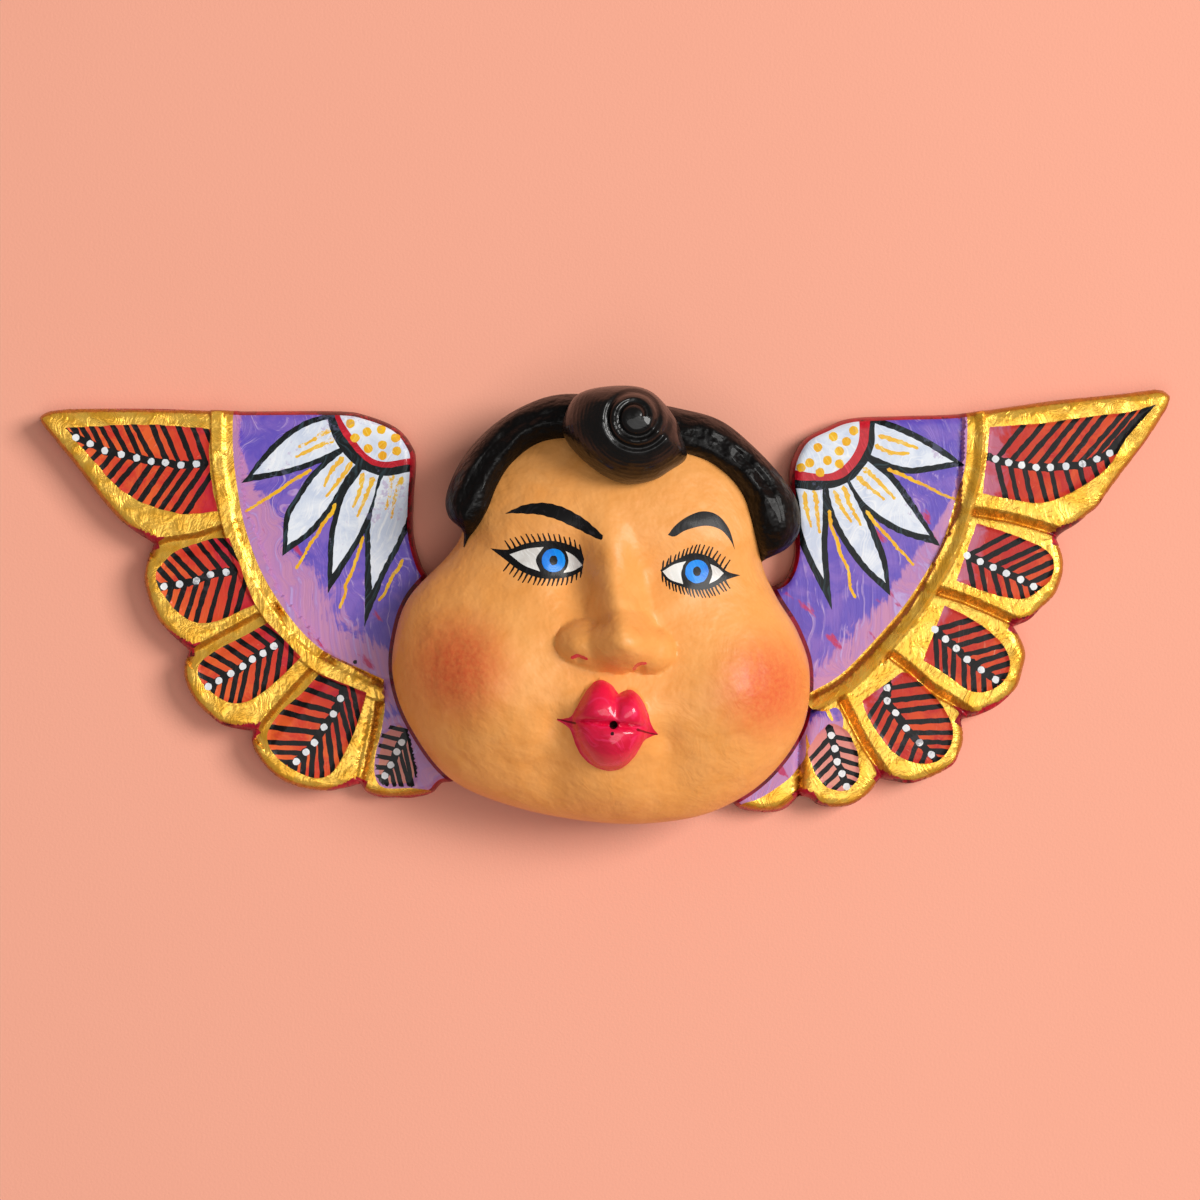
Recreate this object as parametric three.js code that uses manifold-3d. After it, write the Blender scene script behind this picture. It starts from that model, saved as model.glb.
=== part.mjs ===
// Angel mask: a carved and painted wooden cherub face with two carved wings.
// Millimetres. The mask lies on its back: +Z comes out of the face, +Y points to the hair,
// +X points to the viewer's right, and z = 0 is the flat back that would touch the wall.
// Three pieces of wood: the head, hollow behind, and a board for each wing.

import * as THREE from "three";
import { mergeVertices } from "three/addons/utils/BufferGeometryUtils.js";
import Module from "manifold-3d";

const wasm = await Module();
wasm.setup();

// Driving sizes of the head
const WALL_TOP = 16; // the straight side wall, where the wings butt on
const EQUATOR_Z = 32; // height of the widest line of the head
const UNDERCUT = 3; // how far the wall stands in under the cheeks
const DOME_RISE = 33; // from the widest line up to the crown of the face
const DOME_CENTRE = [2, -20];
const WALL_THICKNESS = 13;
const HOLLOW_EDGE_Z = 14; // the hollow goes straight in this far, then domes
const HOLLOW_RISE = 38;
const JOINT_GAP = 0.35; // between the head and each wing

// Driving sizes of the wings
const BASE_TOP = 9.5; // the board under the carving
const FIELD_TOP = 14; // the purple ground
const FIELD_BEVEL = 4;
const FEATHER_TOP = 16.5;
const FEATHER_BEVEL = 7.5; // how far in from its edge a feather reaches its full height
const FEATHER_DROP = 4.5;
const RIB_FOOT = 8;
const RIB_TOP = 18;
const RIB_WIDTH = 8.5;
const SPUR_WIDTH = 5;
const OUTLINE_STEP = 7; // length of a straight step along a curved outline

// Carved line that the face and chin follow, seen from the front, with the skull under the hair
const faceOutline = [
  [65, 19], [71, 4], [80, -11], [85, -28], [82, -51], [67, -72], [46, -85], [23, -90],
  [-3, -90], [-36, -84], [-64, -72], [-81, -50], [-88, -30], [-87, -12], [-81, 4], [-65, 21],
  [-59, 31], [-55, 48], [-41, 67], [-20, 78], [5, 80], [35, 75], [55, 61], [66, 40],
];

// Where the band of hair starts on the forehead and where it ends outside, pair by pair
const hairStations = [
  { inside: [-58, 24], outside: [-60, 26] },
  { inside: [-56, 28], outside: [-59, 31] },
  { inside: [-52, 33], outside: [-65, 37] },
  { inside: [-48, 40], outside: [-66, 46] },
  { inside: [-44, 50], outside: [-60, 60] },
  { inside: [-38, 59], outside: [-49, 73] },
  { inside: [-27, 67], outside: [-34, 83] },
  { inside: [-12, 69], outside: [-17, 88] },
  { inside: [8, 67], outside: [8, 86] },
  { inside: [26, 64], outside: [31, 82] },
  { inside: [41, 60], outside: [48, 77] },
  { inside: [51, 53], outside: [62, 66] },
  { inside: [57, 45], outside: [74, 53] },
  { inside: [60, 36], outside: [80, 43] },
  { inside: [62, 28], outside: [81, 32] },
  { inside: [64, 21], outside: [76, 24] },
  { inside: [65, 18], outside: [67, 21] },
];
const HAIR_STAND = 8; // how far the hair stands over the forehead
const HAIR_FULL_WIDTH = 14; // a narrower band stands up less
const HAIR_EDGE_Z = 30;
const HAIR_SINK = 3; // how deep the hair is rooted in the forehead
const HAIR_WALL = { inset: 4, most: 0.3, top: 18 }; // the hair's own side wall, from its outer edge
const HAIR_FOOT = { across: 0.02, z: 4 };

// The rolled curl over the forehead
const ROLL = { centre: [8, 70], halfWidth: 25, halfHeight: 20, waistZ: 62, rise: 24, button: [12.5, 74] };
const rollRoot = [{ share: 0.82, z: 34 }, { share: 0.92, z: 54 }, { share: 0.985, z: 61 }];
const ROLL_DOME = { squareness: 2.1, fullness: 1.15 };
const GROOVED_SHARE = 0.96; // the grooves stop short of the widest ring
const CURL_GROOVE = { start: 6.5, perTurn: 6.5, turns: 1.9, width: 1.5, depth: 2.2 };

const MOUTH = [3.4, -48];
const MOUTH_HOLE = { radius: 1.7, depth: 4 };

// Relief of the face: centre, spread and height of each soft swelling or hollow
const swellings = [
  { at: [-50, -34], spread: [26, 26], rise: 9 }, // cheek
  { at: [56, -38], spread: [25, 26], rise: 9 }, // cheek
  { at: [3, -78], spread: [19, 9], rise: 4 }, // chin
  { at: [3, -50], spread: [20, 17], rise: 9 }, // pouting muzzle
  { at: [-25, 19], spread: [17, 10], rise: -2.5 }, // eye socket
  { at: [37, 15], spread: [16, 10], rise: -2.5 }, // eye socket
  { at: [-12, 16], spread: [8, 10], rise: -3 }, // hollow beside the bridge
  { at: [17, 12], spread: [8, 10], rise: -3 }, // hollow beside the bridge
  { at: [-26, 37], spread: [20, 10], rise: 1.2 }, // brow
  { at: [36, 33], spread: [18, 10], rise: 1.2 }, // brow
  { at: [4, 42], spread: [26, 18], rise: 2.5 }, // forehead
  { at: [-20, -48], spread: [6, 7], rise: -3 }, // corner of the mouth
  { at: [24, -54], spread: [6, 7], rise: -3.5 }, // corner of the mouth
  { at: [-22, -70], spread: [9, 13], rise: -2.5 }, // fold beside the chin
  { at: [28, -72], spread: [9, 12], rise: -2.5 }, // fold beside the chin
];

// The nose is a ridge that widens towards the tip, with a ball and two wings
const NOSE = {
  top: [1, 30], tip: [7, -12], bridgeRise: 3, tipRise: 15, topWidth: 12, tipWidth: 17,
  overhang: 2, fall: 13, flow: 2.5,
};
const noseMounds = [
  { at: [8, -12.5], reach: [15, 12], rise: 14 },
  { at: [-8, -15], reach: [12.5, 10], rise: 10 },
  { at: [17, -18.5], reach: [12, 10], rise: 10 },
  { at: [6, -22], reach: [9, 8], rise: 7 },
];
const nostrils = [
  { at: [-10.5, -21.5], reach: [3.2, 2.2], rise: 2.5 },
  { at: [14.5, -25.5], reach: [2.6, 3], rise: 2.5 },
];

// The pursed lips: their edge, the round of their rim and the three soft pads
const lipEdge = [
  [-13, -46], [-11, -40], [-7.5, -33.5], [-2.5, -30], [1.8, -31.5], [5.3, -35.6],
  [9.5, -33.8], [13.6, -35], [16.3, -40], [17.6, -48], [16, -55.5], [13, -61],
  [8.5, -65.5], [3, -67], [-3, -66], [-7.5, -61.5], [-11, -55],
];
const LIP_RIM = { width: 6, rise: 4.2 };
const LIP_PAD_EDGE = 3; // the pads fade out this close to the edge
const lipPads = [
  { at: [-3.5, -40], spread: [8, 8], rise: 2.6 },
  { at: [11, -41], spread: [7, 7], rise: 2.2 },
  { at: [3.5, -58], spread: [10, 7], rise: 3.4 },
];
const MOUTH_LINE = { slope: -0.11, width: 1.5, depth: 2.6 };

// Wing outlines: each feather has its round edge and the straight sides that it shares
const leftWing = {
  board: [[-222, 79], [-188, 32], [-186, 10], [-172, -20], [-168, -38], [-148, -49], [-136, -70], [-104, -71],
    [-90, -76], [-66, -72], [-60, 0], [-80, 30], [-84, 66], [-110, 78]],
  ribLine: [[-160, 79], [-160, 62], [-157, 43], [-151, 24], [-142, 5], [-131, -12], [-117, -25], [-97, -34]],
  feathers: [
    { centre: [-180, 60], top: [[-154, 82], [-222, 83]],
      tip: [[-222, 83], [-233, 82], [-238, 79], [-231, 69]],
      edge: [[-231, 69], [-212, 45], [-203, 35], [-190, 26]], back: [[-190, 26], [-151, 35]] },
    { centre: [-171, 5], top: [[-149, 37], [-190, 27]],
      edge: [[-190, 27], [-194, 12], [-192, 3], [-188, -6], [-175, -19]], back: [[-175, -19], [-136, 3]] },
    { centre: [-150, -27], top: [[-137, 6], [-175, -18]],
      edge: [[-175, -18], [-177, -30], [-168, -45], [-148, -53]], back: [[-148, -53], [-117, -18]] },
    { centre: [-118, -53], top: [[-119, -19], [-148, -52]],
      edge: [[-148, -52], [-147, -62], [-135, -74], [-118, -78], [-103, -75]],
      back: [[-103, -75], [-94, -32]] },
  ],
  leaf: { centre: [-83, -48], outline: [[[-94, -32], [-104, -75]],
    [[-104, -75], [-100, -79], [-89, -81], [-73, -79], [-69, -75]],
    [[-69, -75], [-55, -77], [-62, -40], [-64, 0]],
    [[-64, 0], [-92, -5]]] },
  field: { centre: [-104, 30], outline: [[[-158, 82], [-113, 82]],
    [[-113, 82], [-100, 80], [-88, 75], [-82, 68], [-80, 61]],
    [[-80, 61], [-81, 45], [-81, 30], [-78, 18], [-72, 9]], [[-72, 9], [-68, -34], [-94, -34]],
    [[-94, -34], [-118, -22], [-140, 4], [-153, 35], [-158, 82]]] },
  ribSpur: [[-97, -34], [-98, -48], [-103, -72]],
};
const rightWing = {
  board: [[222, 86], [189, 33], [186, 10], [171, -10], [170, -32], [150, -43], [145, -62], [116, -69],
    [98, -80], [82, -76], [60, -80], [62, 4], [79, 10], [83, 40], [84, 66], [110, 76], [154, 77]],
  ribLine: [[156, 80], [157, 60], [153, 40], [146, 23], [137, 7], [125, -10], [109, -27], [90, -39]],
  feathers: [
    { centre: [180, 62], top: [[151, 81], [187, 86], [224, 90]],
      tip: [[224, 90], [233, 91], [238, 88], [233, 77]],
      edge: [[233, 77], [214, 51], [203, 38], [190, 28]], back: [[190, 28], [149, 41]] },
    { centre: [168, 13], top: [[150, 42], [190, 29]],
      edge: [[190, 29], [193, 17], [189, 4], [172, -9]], back: [[172, -9], [134, 9]] },
    { centre: [151, -21], top: [[136, 11], [172, -8]],
      edge: [[172, -8], [177, -20], [173, -35], [150, -48]], back: [[150, -48], [118, -15]] },
    { centre: [128, -46], top: [[121, -14], [150, -47]],
      edge: [[150, -47], [150, -60], [138, -72], [116, -73]], back: [[116, -73], [95, -38]] },
    { centre: [99, -64], top: [[97, -40], [116, -72]],
      edge: [[116, -72], [110, -80], [97, -85], [82, -80]], back: [[82, -80], [83, -52], [90, -42]] },
  ],
  leaf: { centre: [68, -70], outline: [[[84, -48], [82, -80]], [[82, -80], [74, -86], [65, -87], [56, -85]],
    [[56, -85], [50, -78], [60, -50], [70, -10]], [[70, -10], [94, -20]]] },
  field: { centre: [106, 26], outline: [[[154, 81], [125, 80], [104, 79]],
    [[104, 79], [93, 75], [84, 70], [79, 61]], [[79, 61], [78, 52], [79, 40], [80, 28], [75, 10], [66, 6]],
    [[66, 6], [74, -50], [88, -44]], [[88, -44], [112, -22], [134, 6], [148, 36], [154, 81]]] },
  ribSpur: [[90, -41], [88, -52], [83, -72]],
};

const skin = new THREE.MeshStandardMaterial({ color: 0xeca25c, roughness: 0.35, metalness: 0 });
const purple = new THREE.MeshStandardMaterial({ color: 0x735acd, roughness: 0.55, metalness: 0 });

// A smooth line through the given points, as a run of short steps
function smoothLine(points, steps) {
  const curve = new THREE.SplineCurve(points.map(([x, y]) => new THREE.Vector2(x, y)));
  return curve.getPoints(steps);
}

// Runs that meet at corners make one closed outline
function closedOutline(runs, spacing) {
  const outline = [];
  for (const run of runs) {
    let length = 0;
    for (let i = 1; i < run.length; i++) {
      length += Math.hypot(run[i][0] - run[i - 1][0], run[i][1] - run[i - 1][1]);
    }
    const line = smoothLine(run, Math.max(2, Math.round(length / spacing)));
    outline.push(...line.slice(0, -1));
  }
  return outline;
}

// Rings of equal count, stacked from the back to the front, become one closed body
function solidFromRings(rings, frontPoint) {
  const count = rings[0].length;
  const positions = [];
  const triangles = [];
  for (const ring of rings) for (const p of ring) positions.push(...p);
  for (let r = 0; r + 1 < rings.length; r++) {
    for (let i = 0; i < count; i++) {
      const a = r * count + i;
      const b = r * count + ((i + 1) % count);
      triangles.push(a, b, b + count, a, b + count, a + count);
    }
  }
  const backCentre = averagePoint(rings[0]);
  const back = positions.length / 3;
  positions.push(...backCentre);
  const front = back + 1;
  positions.push(...(frontPoint ?? averagePoint(rings[rings.length - 1])));
  const last = (rings.length - 1) * count;
  for (let i = 0; i < count; i++) {
    const next = (i + 1) % count;
    triangles.push(back, next, i, front, last + i, last + next);
  }
  return toSolid(positions, triangles);
}

function averagePoint(ring) {
  const sum = [0, 0, 0];
  for (const p of ring) for (let k = 0; k < 3; k++) sum[k] += p[k] / ring.length;
  return sum;
}

function signedVolume(positions, triangles) {
  let volume = 0;
  const corner = (i) => new THREE.Vector3(positions[3 * i], positions[3 * i + 1], positions[3 * i + 2]);
  for (let t = 0; t < triangles.length; t += 3) {
    const [a, b, c] = [corner(triangles[t]), corner(triangles[t + 1]), corner(triangles[t + 2])];
    volume += a.dot(b.cross(c)) / 6;
  }
  return volume;
}

function toSolid(positions, triangles) {
  if (signedVolume(positions, triangles) < 0) {
    triangles.reverse();
  }
  return new wasm.Manifold(new wasm.Mesh({
    numProp: 3,
    vertProperties: new Float32Array(positions),
    triVerts: new Uint32Array(triangles),
  }));
}

function solidFromGeometry(geometry) {
  geometry.deleteAttribute("normal");
  geometry.deleteAttribute("uv");
  const merged = mergeVertices(geometry, 1e-4);
  return toSolid(Array.from(merged.attributes.position.array), Array.from(merged.index.array));
}

function toMesh(name, solid, material) {
  const { vertProperties, triVerts, numProp } = solid.getMesh();
  const positions = new Float32Array((vertProperties.length / numProp) * 3);
  for (let i = 0; i < positions.length / 3; i++) {
    for (let k = 0; k < 3; k++) positions[3 * i + k] = vertProperties[numProp * i + k];
  }
  const geometry = new THREE.BufferGeometry();
  geometry.setAttribute("position", new THREE.BufferAttribute(positions, 3));
  geometry.setIndex(Array.from(triVerts));
  geometry.computeVertexNormals();
  const mesh = new THREE.Mesh(geometry, material);
  mesh.name = name;
  return mesh;
}

function joined(solids) {
  return solids.reduce((whole, next) => whole.add(next));
}

// The outline drawn in or out evenly, by sliding each point along its normal
function offsetRing(outline, distance) {
  return outline.map((p, i) => {
    const before = outline[(i + outline.length - 1) % outline.length];
    const after = outline[(i + 1) % outline.length];
    const along = new THREE.Vector2().subVectors(after, before).normalize();
    return new THREE.Vector2(p.x - along.y * distance, p.y + along.x * distance);
  });
}

function bell(x, y, { at, spread, rise }) {
  const dx = (x - at[0]) / spread[0];
  const dy = (y - at[1]) / spread[1];
  return rise * Math.exp(-(dx * dx + dy * dy));
}

function smoothStep(low, high, value) {
  const t = Math.min(1, Math.max(0, (value - low) / (high - low)));
  return t * t * (3 - 2 * t);
}

// A round-topped swelling that ends at its reach
function mound(x, y, { at, reach, rise }) {
  return rise * (1 - smoothStep(0, 1, Math.hypot((x - at[0]) / reach[0], (y - at[1]) / reach[1])));
}

// Ridge, ball and wings flow together, because their heights are blended and not added
function noseHeight(x, y) {
  const along = (y - NOSE.tip[1]) / (NOSE.top[1] - NOSE.tip[1]);
  const up = Math.max(0, Math.min(1, along));
  const middle = NOSE.tip[0] + (NOSE.top[0] - NOSE.tip[0]) * Math.max(-0.5, Math.min(1, along));
  const width = NOSE.tipWidth + (NOSE.topWidth - NOSE.tipWidth) * up;
  const rise = NOSE.bridgeRise + (NOSE.tipRise - NOSE.bridgeRise) * (1 - smoothStep(0, 0.85, up));
  const underside = 1 - smoothStep(0, NOSE.fall, NOSE.tip[1] - NOSE.overhang - y);
  const brow = 1 - smoothStep(0.75, 1.35, along);
  const ridge = rise * underside * brow * (1 - smoothStep(0, 1, Math.abs(x - middle) / width));
  let sum = ridge ** NOSE.flow;
  for (const part of noseMounds) sum += mound(x, y, part) ** NOSE.flow;
  return sum ** (1 / NOSE.flow);
}

// Distance from a point to a closed line, positive inside it
function insideDistance(x, y, outline) {
  let distance = Infinity;
  let inside = false;
  for (let i = 0; i < outline.length; i++) {
    const a = outline[i];
    const b = outline[(i + 1) % outline.length];
    const [ex, ey] = [b.x - a.x, b.y - a.y];
    const t = Math.max(0, Math.min(1, ((x - a.x) * ex + (y - a.y) * ey) / (ex * ex + ey * ey)));
    distance = Math.min(distance, Math.hypot(x - a.x - t * ex, y - a.y - t * ey));
    if (a.y > y !== b.y > y && x < (ex * (y - a.y)) / ey + a.x) inside = !inside;
  }
  return inside ? distance : -distance;
}

const lipLine = smoothLine([...lipEdge, lipEdge[0]], 60).slice(0, -1);

function lipHeight(x, y) {
  const inwards = insideDistance(x, y, lipLine);
  if (inwards <= 0) return 0;
  const rim = Math.min(1, inwards / LIP_RIM.width);
  const offLine = (y - MOUTH[1] - MOUTH_LINE.slope * (x - MOUTH[0])) / MOUTH_LINE.width;
  let pads = -MOUTH_LINE.depth * Math.exp(-offLine * offLine);
  for (const pad of lipPads) pads += bell(x, y, pad);
  return LIP_RIM.rise * Math.sqrt(1 - (1 - rim) ** 2) + pads * Math.min(1, inwards / LIP_PAD_EDGE);
}

// Height of the face at a share of the way from the dome's centre to the outline
function faceHeight(x, y, share) {
  const dome = EQUATOR_Z + DOME_RISE * Math.sqrt(Math.max(0, 1 - share ** 2.4));
  const fade = Math.sqrt(Math.max(0, 1 - share ** 4));
  let relief = noseHeight(x, y) + lipHeight(x, y);
  for (const swelling of swellings) relief += bell(x, y, swelling);
  for (const nostril of nostrils) relief -= mound(x, y, nostril);
  return dome + relief * fade;
}

const FACE_SPOKES = 72;
const FACE_RINGS = 18;
const faceLine = new THREE.SplineCurve(
  [...faceOutline, faceOutline[0]].map(([x, y]) => new THREE.Vector2(x, y)),
).getSpacedPoints(FACE_SPOKES).slice(0, -1);

// The outline seen from the dome's centre, as a reach for each direction
function reachTowards(outline, centre, direction) {
  let reach = 0;
  for (let i = 0; i < outline.length; i++) {
    const a = outline[i];
    const b = outline[(i + 1) % outline.length];
    const edge = new THREE.Vector2().subVectors(b, a);
    const cross = direction.x * edge.y - direction.y * edge.x;
    if (Math.abs(cross) < 1e-9) continue;
    const from = new THREE.Vector2(a.x - centre[0], a.y - centre[1]);
    const along = (from.x * edge.y - from.y * edge.x) / cross;
    const part = (from.x * direction.y - from.y * direction.x) / cross;
    if (along > 0 && part >= 0 && part <= 1) reach = Math.max(reach, along);
  }
  return reach;
}

function faceHeightAt(x, y) {
  const direction = new THREE.Vector2(x - DOME_CENTRE[0], y - DOME_CENTRE[1]);
  const distance = direction.length();
  const share = distance / reachTowards(faceLine, DOME_CENTRE, direction.normalize());
  return faceHeight(x, y, Math.min(1, share));
}

// The side of the head: straight wall, then a round swell out to the widest line
const sideProfile = [
  { z: 0, inset: UNDERCUT },
  { z: WALL_TOP, inset: UNDERCUT },
  { z: 21, inset: 2.2 },
  { z: 26, inset: 0.9 },
];

function makeFace() {
  const rings = [];
  for (const { z, inset } of sideProfile) rings.push(offsetRing(faceLine, -inset).map((p) => [p.x, p.y, z]));
  for (let r = 0; r < FACE_RINGS; r++) {
    const share = Math.cos((Math.PI / 2) * (r / FACE_RINGS) ** 1.15);
    rings.push(faceLine.map((p) => {
      const x = DOME_CENTRE[0] + (p.x - DOME_CENTRE[0]) * share;
      const y = DOME_CENTRE[1] + (p.y - DOME_CENTRE[1]) * share;
      return [x, y, faceHeight(x, y, share)];
    }));
  }
  return solidFromRings(rings, [...DOME_CENTRE, faceHeight(...DOME_CENTRE, 0)]);
}

// The band of hair: a thick rounded rope that starts on the forehead and falls over the edge
const HAIR_STEPS = 32;
const hairSection = [
  { across: 0.1, stand: 0.35 },
  { across: 0.22, stand: 0.8 },
  { across: 0.4, stand: 1 },
  { across: 0.6, stand: 0.95 },
];
const hairFall = [{ across: 0.8, drop: 0.22 }, { across: 0.93, drop: 0.55 }, { across: 1, drop: 1 }];

function makeHair() {
  const inside = smoothLine(hairStations.map((s) => s.inside), HAIR_STEPS);
  const outside = smoothLine(hairStations.map((s) => s.outside), HAIR_STEPS);
  const rings = inside.map((start, i) => {
    const end = outside[i];
    const width = start.distanceTo(end);
    const strength = Math.min(1, width / HAIR_FULL_WIDTH);
    const at = (across) => start.clone().lerp(end, across);
    const root = faceHeightAt(start.x, start.y);
    const ring = [[...at(HAIR_FOOT.across), HAIR_FOOT.z], [...at(0), root - HAIR_SINK]];
    for (const { across, stand } of hairSection) {
      const p = at(across);
      const lift = HAIR_STAND * stand * strength;
      const level = (faceHeightAt(p.x, p.y) + root) / 2 + lift;
      ring.push([p.x, p.y, Math.max(HAIR_EDGE_Z + HAIR_SINK, level)]);
    }
    const crest = ring[ring.length - 1][2];
    for (const { across, drop } of hairFall) {
      const p = at(across);
      ring.push([p.x, p.y, crest + (HAIR_EDGE_Z - crest) * drop]);
    }
    const wall = at(1 - Math.min(HAIR_WALL.most, HAIR_WALL.inset / width));
    ring.push([wall.x, wall.y, HAIR_WALL.top], [wall.x, wall.y, 0], [...at(HAIR_WALL.most), 0]);
    return ring;
  });
  return solidFromRings(rings);
}

// Depth of the spiral groove of the curl at a distance and angle from its button
function curlGroove(distance, angle) {
  let depth = 0;
  for (let turn = 0; turn <= Math.ceil(CURL_GROOVE.turns); turn++) {
    const wound = angle / (2 * Math.PI) + turn;
    if (wound > CURL_GROOVE.turns) continue;
    const line = CURL_GROOVE.start + CURL_GROOVE.perTurn * wound;
    const off = (distance - line) / CURL_GROOVE.width;
    depth = Math.max(depth, CURL_GROOVE.depth * Math.exp(-off * off));
  }
  return depth;
}

function makeRoll() {
  const SPOKES = 36;
  const RINGS = 13;
  const rings = [];
  const ringAt = (share, z, shift, groove) => {
    const ring = [];
    const middle = [
      ROLL.centre[0] + (ROLL.button[0] - ROLL.centre[0]) * shift,
      ROLL.centre[1] + (ROLL.button[1] - ROLL.centre[1]) * shift,
    ];
    for (let i = 0; i < SPOKES; i++) {
      const angle = (2 * Math.PI * i) / SPOKES;
      const x = middle[0] + ROLL.halfWidth * share * Math.cos(angle);
      const y = middle[1] + ROLL.halfHeight * share * Math.sin(angle);
      const fromButton = Math.hypot(x - ROLL.button[0], y - ROLL.button[1]);
      const around = (angle + 2 * Math.PI) % (2 * Math.PI);
      ring.push([x, y, z - (groove ? curlGroove(fromButton, around) : 0)]);
    }
    return ring;
  };
  for (const { share, z } of rollRoot) rings.push(ringAt(share, z, 0, false));
  for (let r = 0; r < RINGS; r++) {
    const share = 1 - r / RINGS;
    const dome = Math.sqrt(1 - share ** ROLL_DOME.squareness) ** ROLL_DOME.fullness;
    rings.push(ringAt(share, ROLL.waistZ + ROLL.rise * dome, 1 - share, share < GROOVED_SHARE));
  }
  return solidFromRings(rings, [...ROLL.button, ROLL.waistZ + ROLL.rise]);
}

const HOLLOW_CUT_START = 5; // how far behind the back the hollow's cut starts

// The hollow behind the face, and the flat ledge in its top wall that hangs on a nail
function makeHollow() {
  const SHARES = [1, 0.93, 0.8, 0.62, 0.4, 0.2];
  const SPOKES = 28;
  const line = new THREE.SplineCurve(
    [...faceOutline, faceOutline[0]].map(([x, y]) => new THREE.Vector2(x, y)),
  ).getSpacedPoints(SPOKES).slice(0, -1);
  const mouth = offsetRing(line, -(WALL_THICKNESS + UNDERCUT));
  const rings = [mouth.map((p) => [p.x, p.y, -HOLLOW_CUT_START])];
  for (const share of SHARES) {
    const z = HOLLOW_EDGE_Z + HOLLOW_RISE * Math.sqrt(1 - share ** 2.4);
    rings.push(mouth.map((p) => [
      DOME_CENTRE[0] + (p.x - DOME_CENTRE[0]) * share,
      DOME_CENTRE[1] + (p.y - DOME_CENTRE[1]) * share,
      z,
    ]));
  }
  return solidFromRings(rings, [...DOME_CENTRE, HOLLOW_EDGE_Z + HOLLOW_RISE]);
}

const HOLE_SIDES = 12;
const LEDGE = { x: 5, y: 66, width: 24, depth: 14, cutHeight: 20 };
const CUT_MARGIN = 2; // how far a cut starts outside the wood

function makeHead() {
  const ledge = new THREE.BoxGeometry(LEDGE.width, LEDGE.cutHeight, LEDGE.depth + CUT_MARGIN);
  ledge.translate(LEDGE.x, LEDGE.y - LEDGE.cutHeight / 2, (LEDGE.depth - CUT_MARGIN) / 2);
  const { radius, depth } = MOUTH_HOLE;
  const hole = new THREE.CylinderGeometry(radius, radius, 2 * depth, HOLE_SIDES);
  hole.rotateX(Math.PI / 2);
  hole.translate(MOUTH[0], MOUTH[1], faceHeightAt(...MOUTH));
  return joined([makeFace(), makeHair(), makeRoll()])
    .subtract(makeHollow())
    .subtract(solidFromGeometry(ledge))
    .subtract(solidFromGeometry(hole));
}

// The bevel of a pillow, as shares of its drop and of its width, from its lower edge to its top
const bevelSteps = [{ down: 0.72, across: 0.12 }, { down: 0.3, across: 0.5 }, { down: 0, across: 1 }];
const PILLOW_LIP = 1; // the straight side ends this far under the bevel
const MOST_INSET = 0.9; // keeps a narrow pillow from closing on itself

// A board with a flat back, straight sides and a rounded or bevelled front edge
function pillow(area, centre, top, bevel, drop) {
  const outline = closedOutline(area, OUTLINE_STEP);
  let inradius = Infinity;
  for (const p of outline) inradius = Math.min(inradius, Math.hypot(p.x - centre[0], p.y - centre[1]));
  const steps = [{ z: 0, inset: 0 }, { z: top - drop - PILLOW_LIP, inset: 0 }];
  for (const { down, across } of bevelSteps) steps.push({ z: top - down * drop, inset: across * bevel });
  const rings = steps.map(({ z, inset }) => {
    const share = 1 - Math.min(MOST_INSET, inset / inradius);
    return outline.map((p) => [
      centre[0] + (p.x - centre[0]) * share,
      centre[1] + (p.y - centre[1]) * share,
      z,
    ]);
  });
  return solidFromRings(rings, [...centre, top]);
}

const RIB_STEPS = 16;
const SPUR_STEPS = 4;
// Half-round section of a rib, as shares of its half width and of its height
const ribSection = [[-1, 0], [-1, 0.55], [-0.55, 0.9], [0, 1], [0.55, 0.9], [1, 0.55], [1, 0]];

// The gold rib: a half-round moulding bent along a line, sunk into the board
function rib(points, width, top, steps) {
  const line = smoothLine(points, steps);
  const rings = line.map((p, i) => {
    const [before, after] = [line[Math.max(0, i - 1)], line[Math.min(steps, i + 1)]];
    const along = new THREE.Vector2().subVectors(after, before).normalize();
    return ribSection.map(([side, up]) => [
      p.x - (along.y * side * width) / 2,
      p.y + (along.x * side * width) / 2,
      RIB_FOOT + (top - RIB_FOOT) * up,
    ]);
  });
  return solidFromRings(rings);
}

// The plain board under the carving, a little smaller than the outline
function boardFrom(corners) {
  const outline = corners.map(([x, y]) => new THREE.Vector2(x, y));
  return solidFromRings([0, BASE_TOP].map((z) => outline.map((p) => [p.x, p.y, z])));
}

const SEAT_TOP = 40; // well above the wings

// The wall of the head, grown by the joint gap, cuts the seat in each wing
function makeSeat() {
  const wall = offsetRing(faceLine, JOINT_GAP - UNDERCUT);
  return solidFromRings([-CUT_MARGIN, SEAT_TOP].map((z) => wall.map((p) => [p.x, p.y, z])));
}

function makeWing(wing, seat) {
  const solids = [
    boardFrom(wing.board),
    pillow(wing.field.outline, wing.field.centre, FIELD_TOP, FIELD_BEVEL, FIELD_BEVEL),
    pillow(wing.leaf.outline, wing.leaf.centre, FIELD_TOP, FIELD_BEVEL, FIELD_BEVEL),
    rib(wing.ribLine, RIB_WIDTH, RIB_TOP, RIB_STEPS),
    rib(wing.ribSpur, SPUR_WIDTH, FEATHER_TOP, SPUR_STEPS),
  ];
  for (const { centre, top, tip, edge, back } of wing.feathers) {
    const runs = tip ? [top, tip, edge, back] : [top, edge, back];
    solids.push(pillow(runs, centre, FEATHER_TOP, FEATHER_BEVEL, FEATHER_DROP));
  }
  return joined(solids).subtract(seat);
}

const seat = makeSeat();
const mask = new THREE.Group();
mask.add(toMesh("head", makeHead(), skin));
mask.add(toMesh("wing_left", makeWing(leftWing, seat), purple));
mask.add(toMesh("wing_right", makeWing(rightWing, seat), purple));

export default mask;
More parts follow.
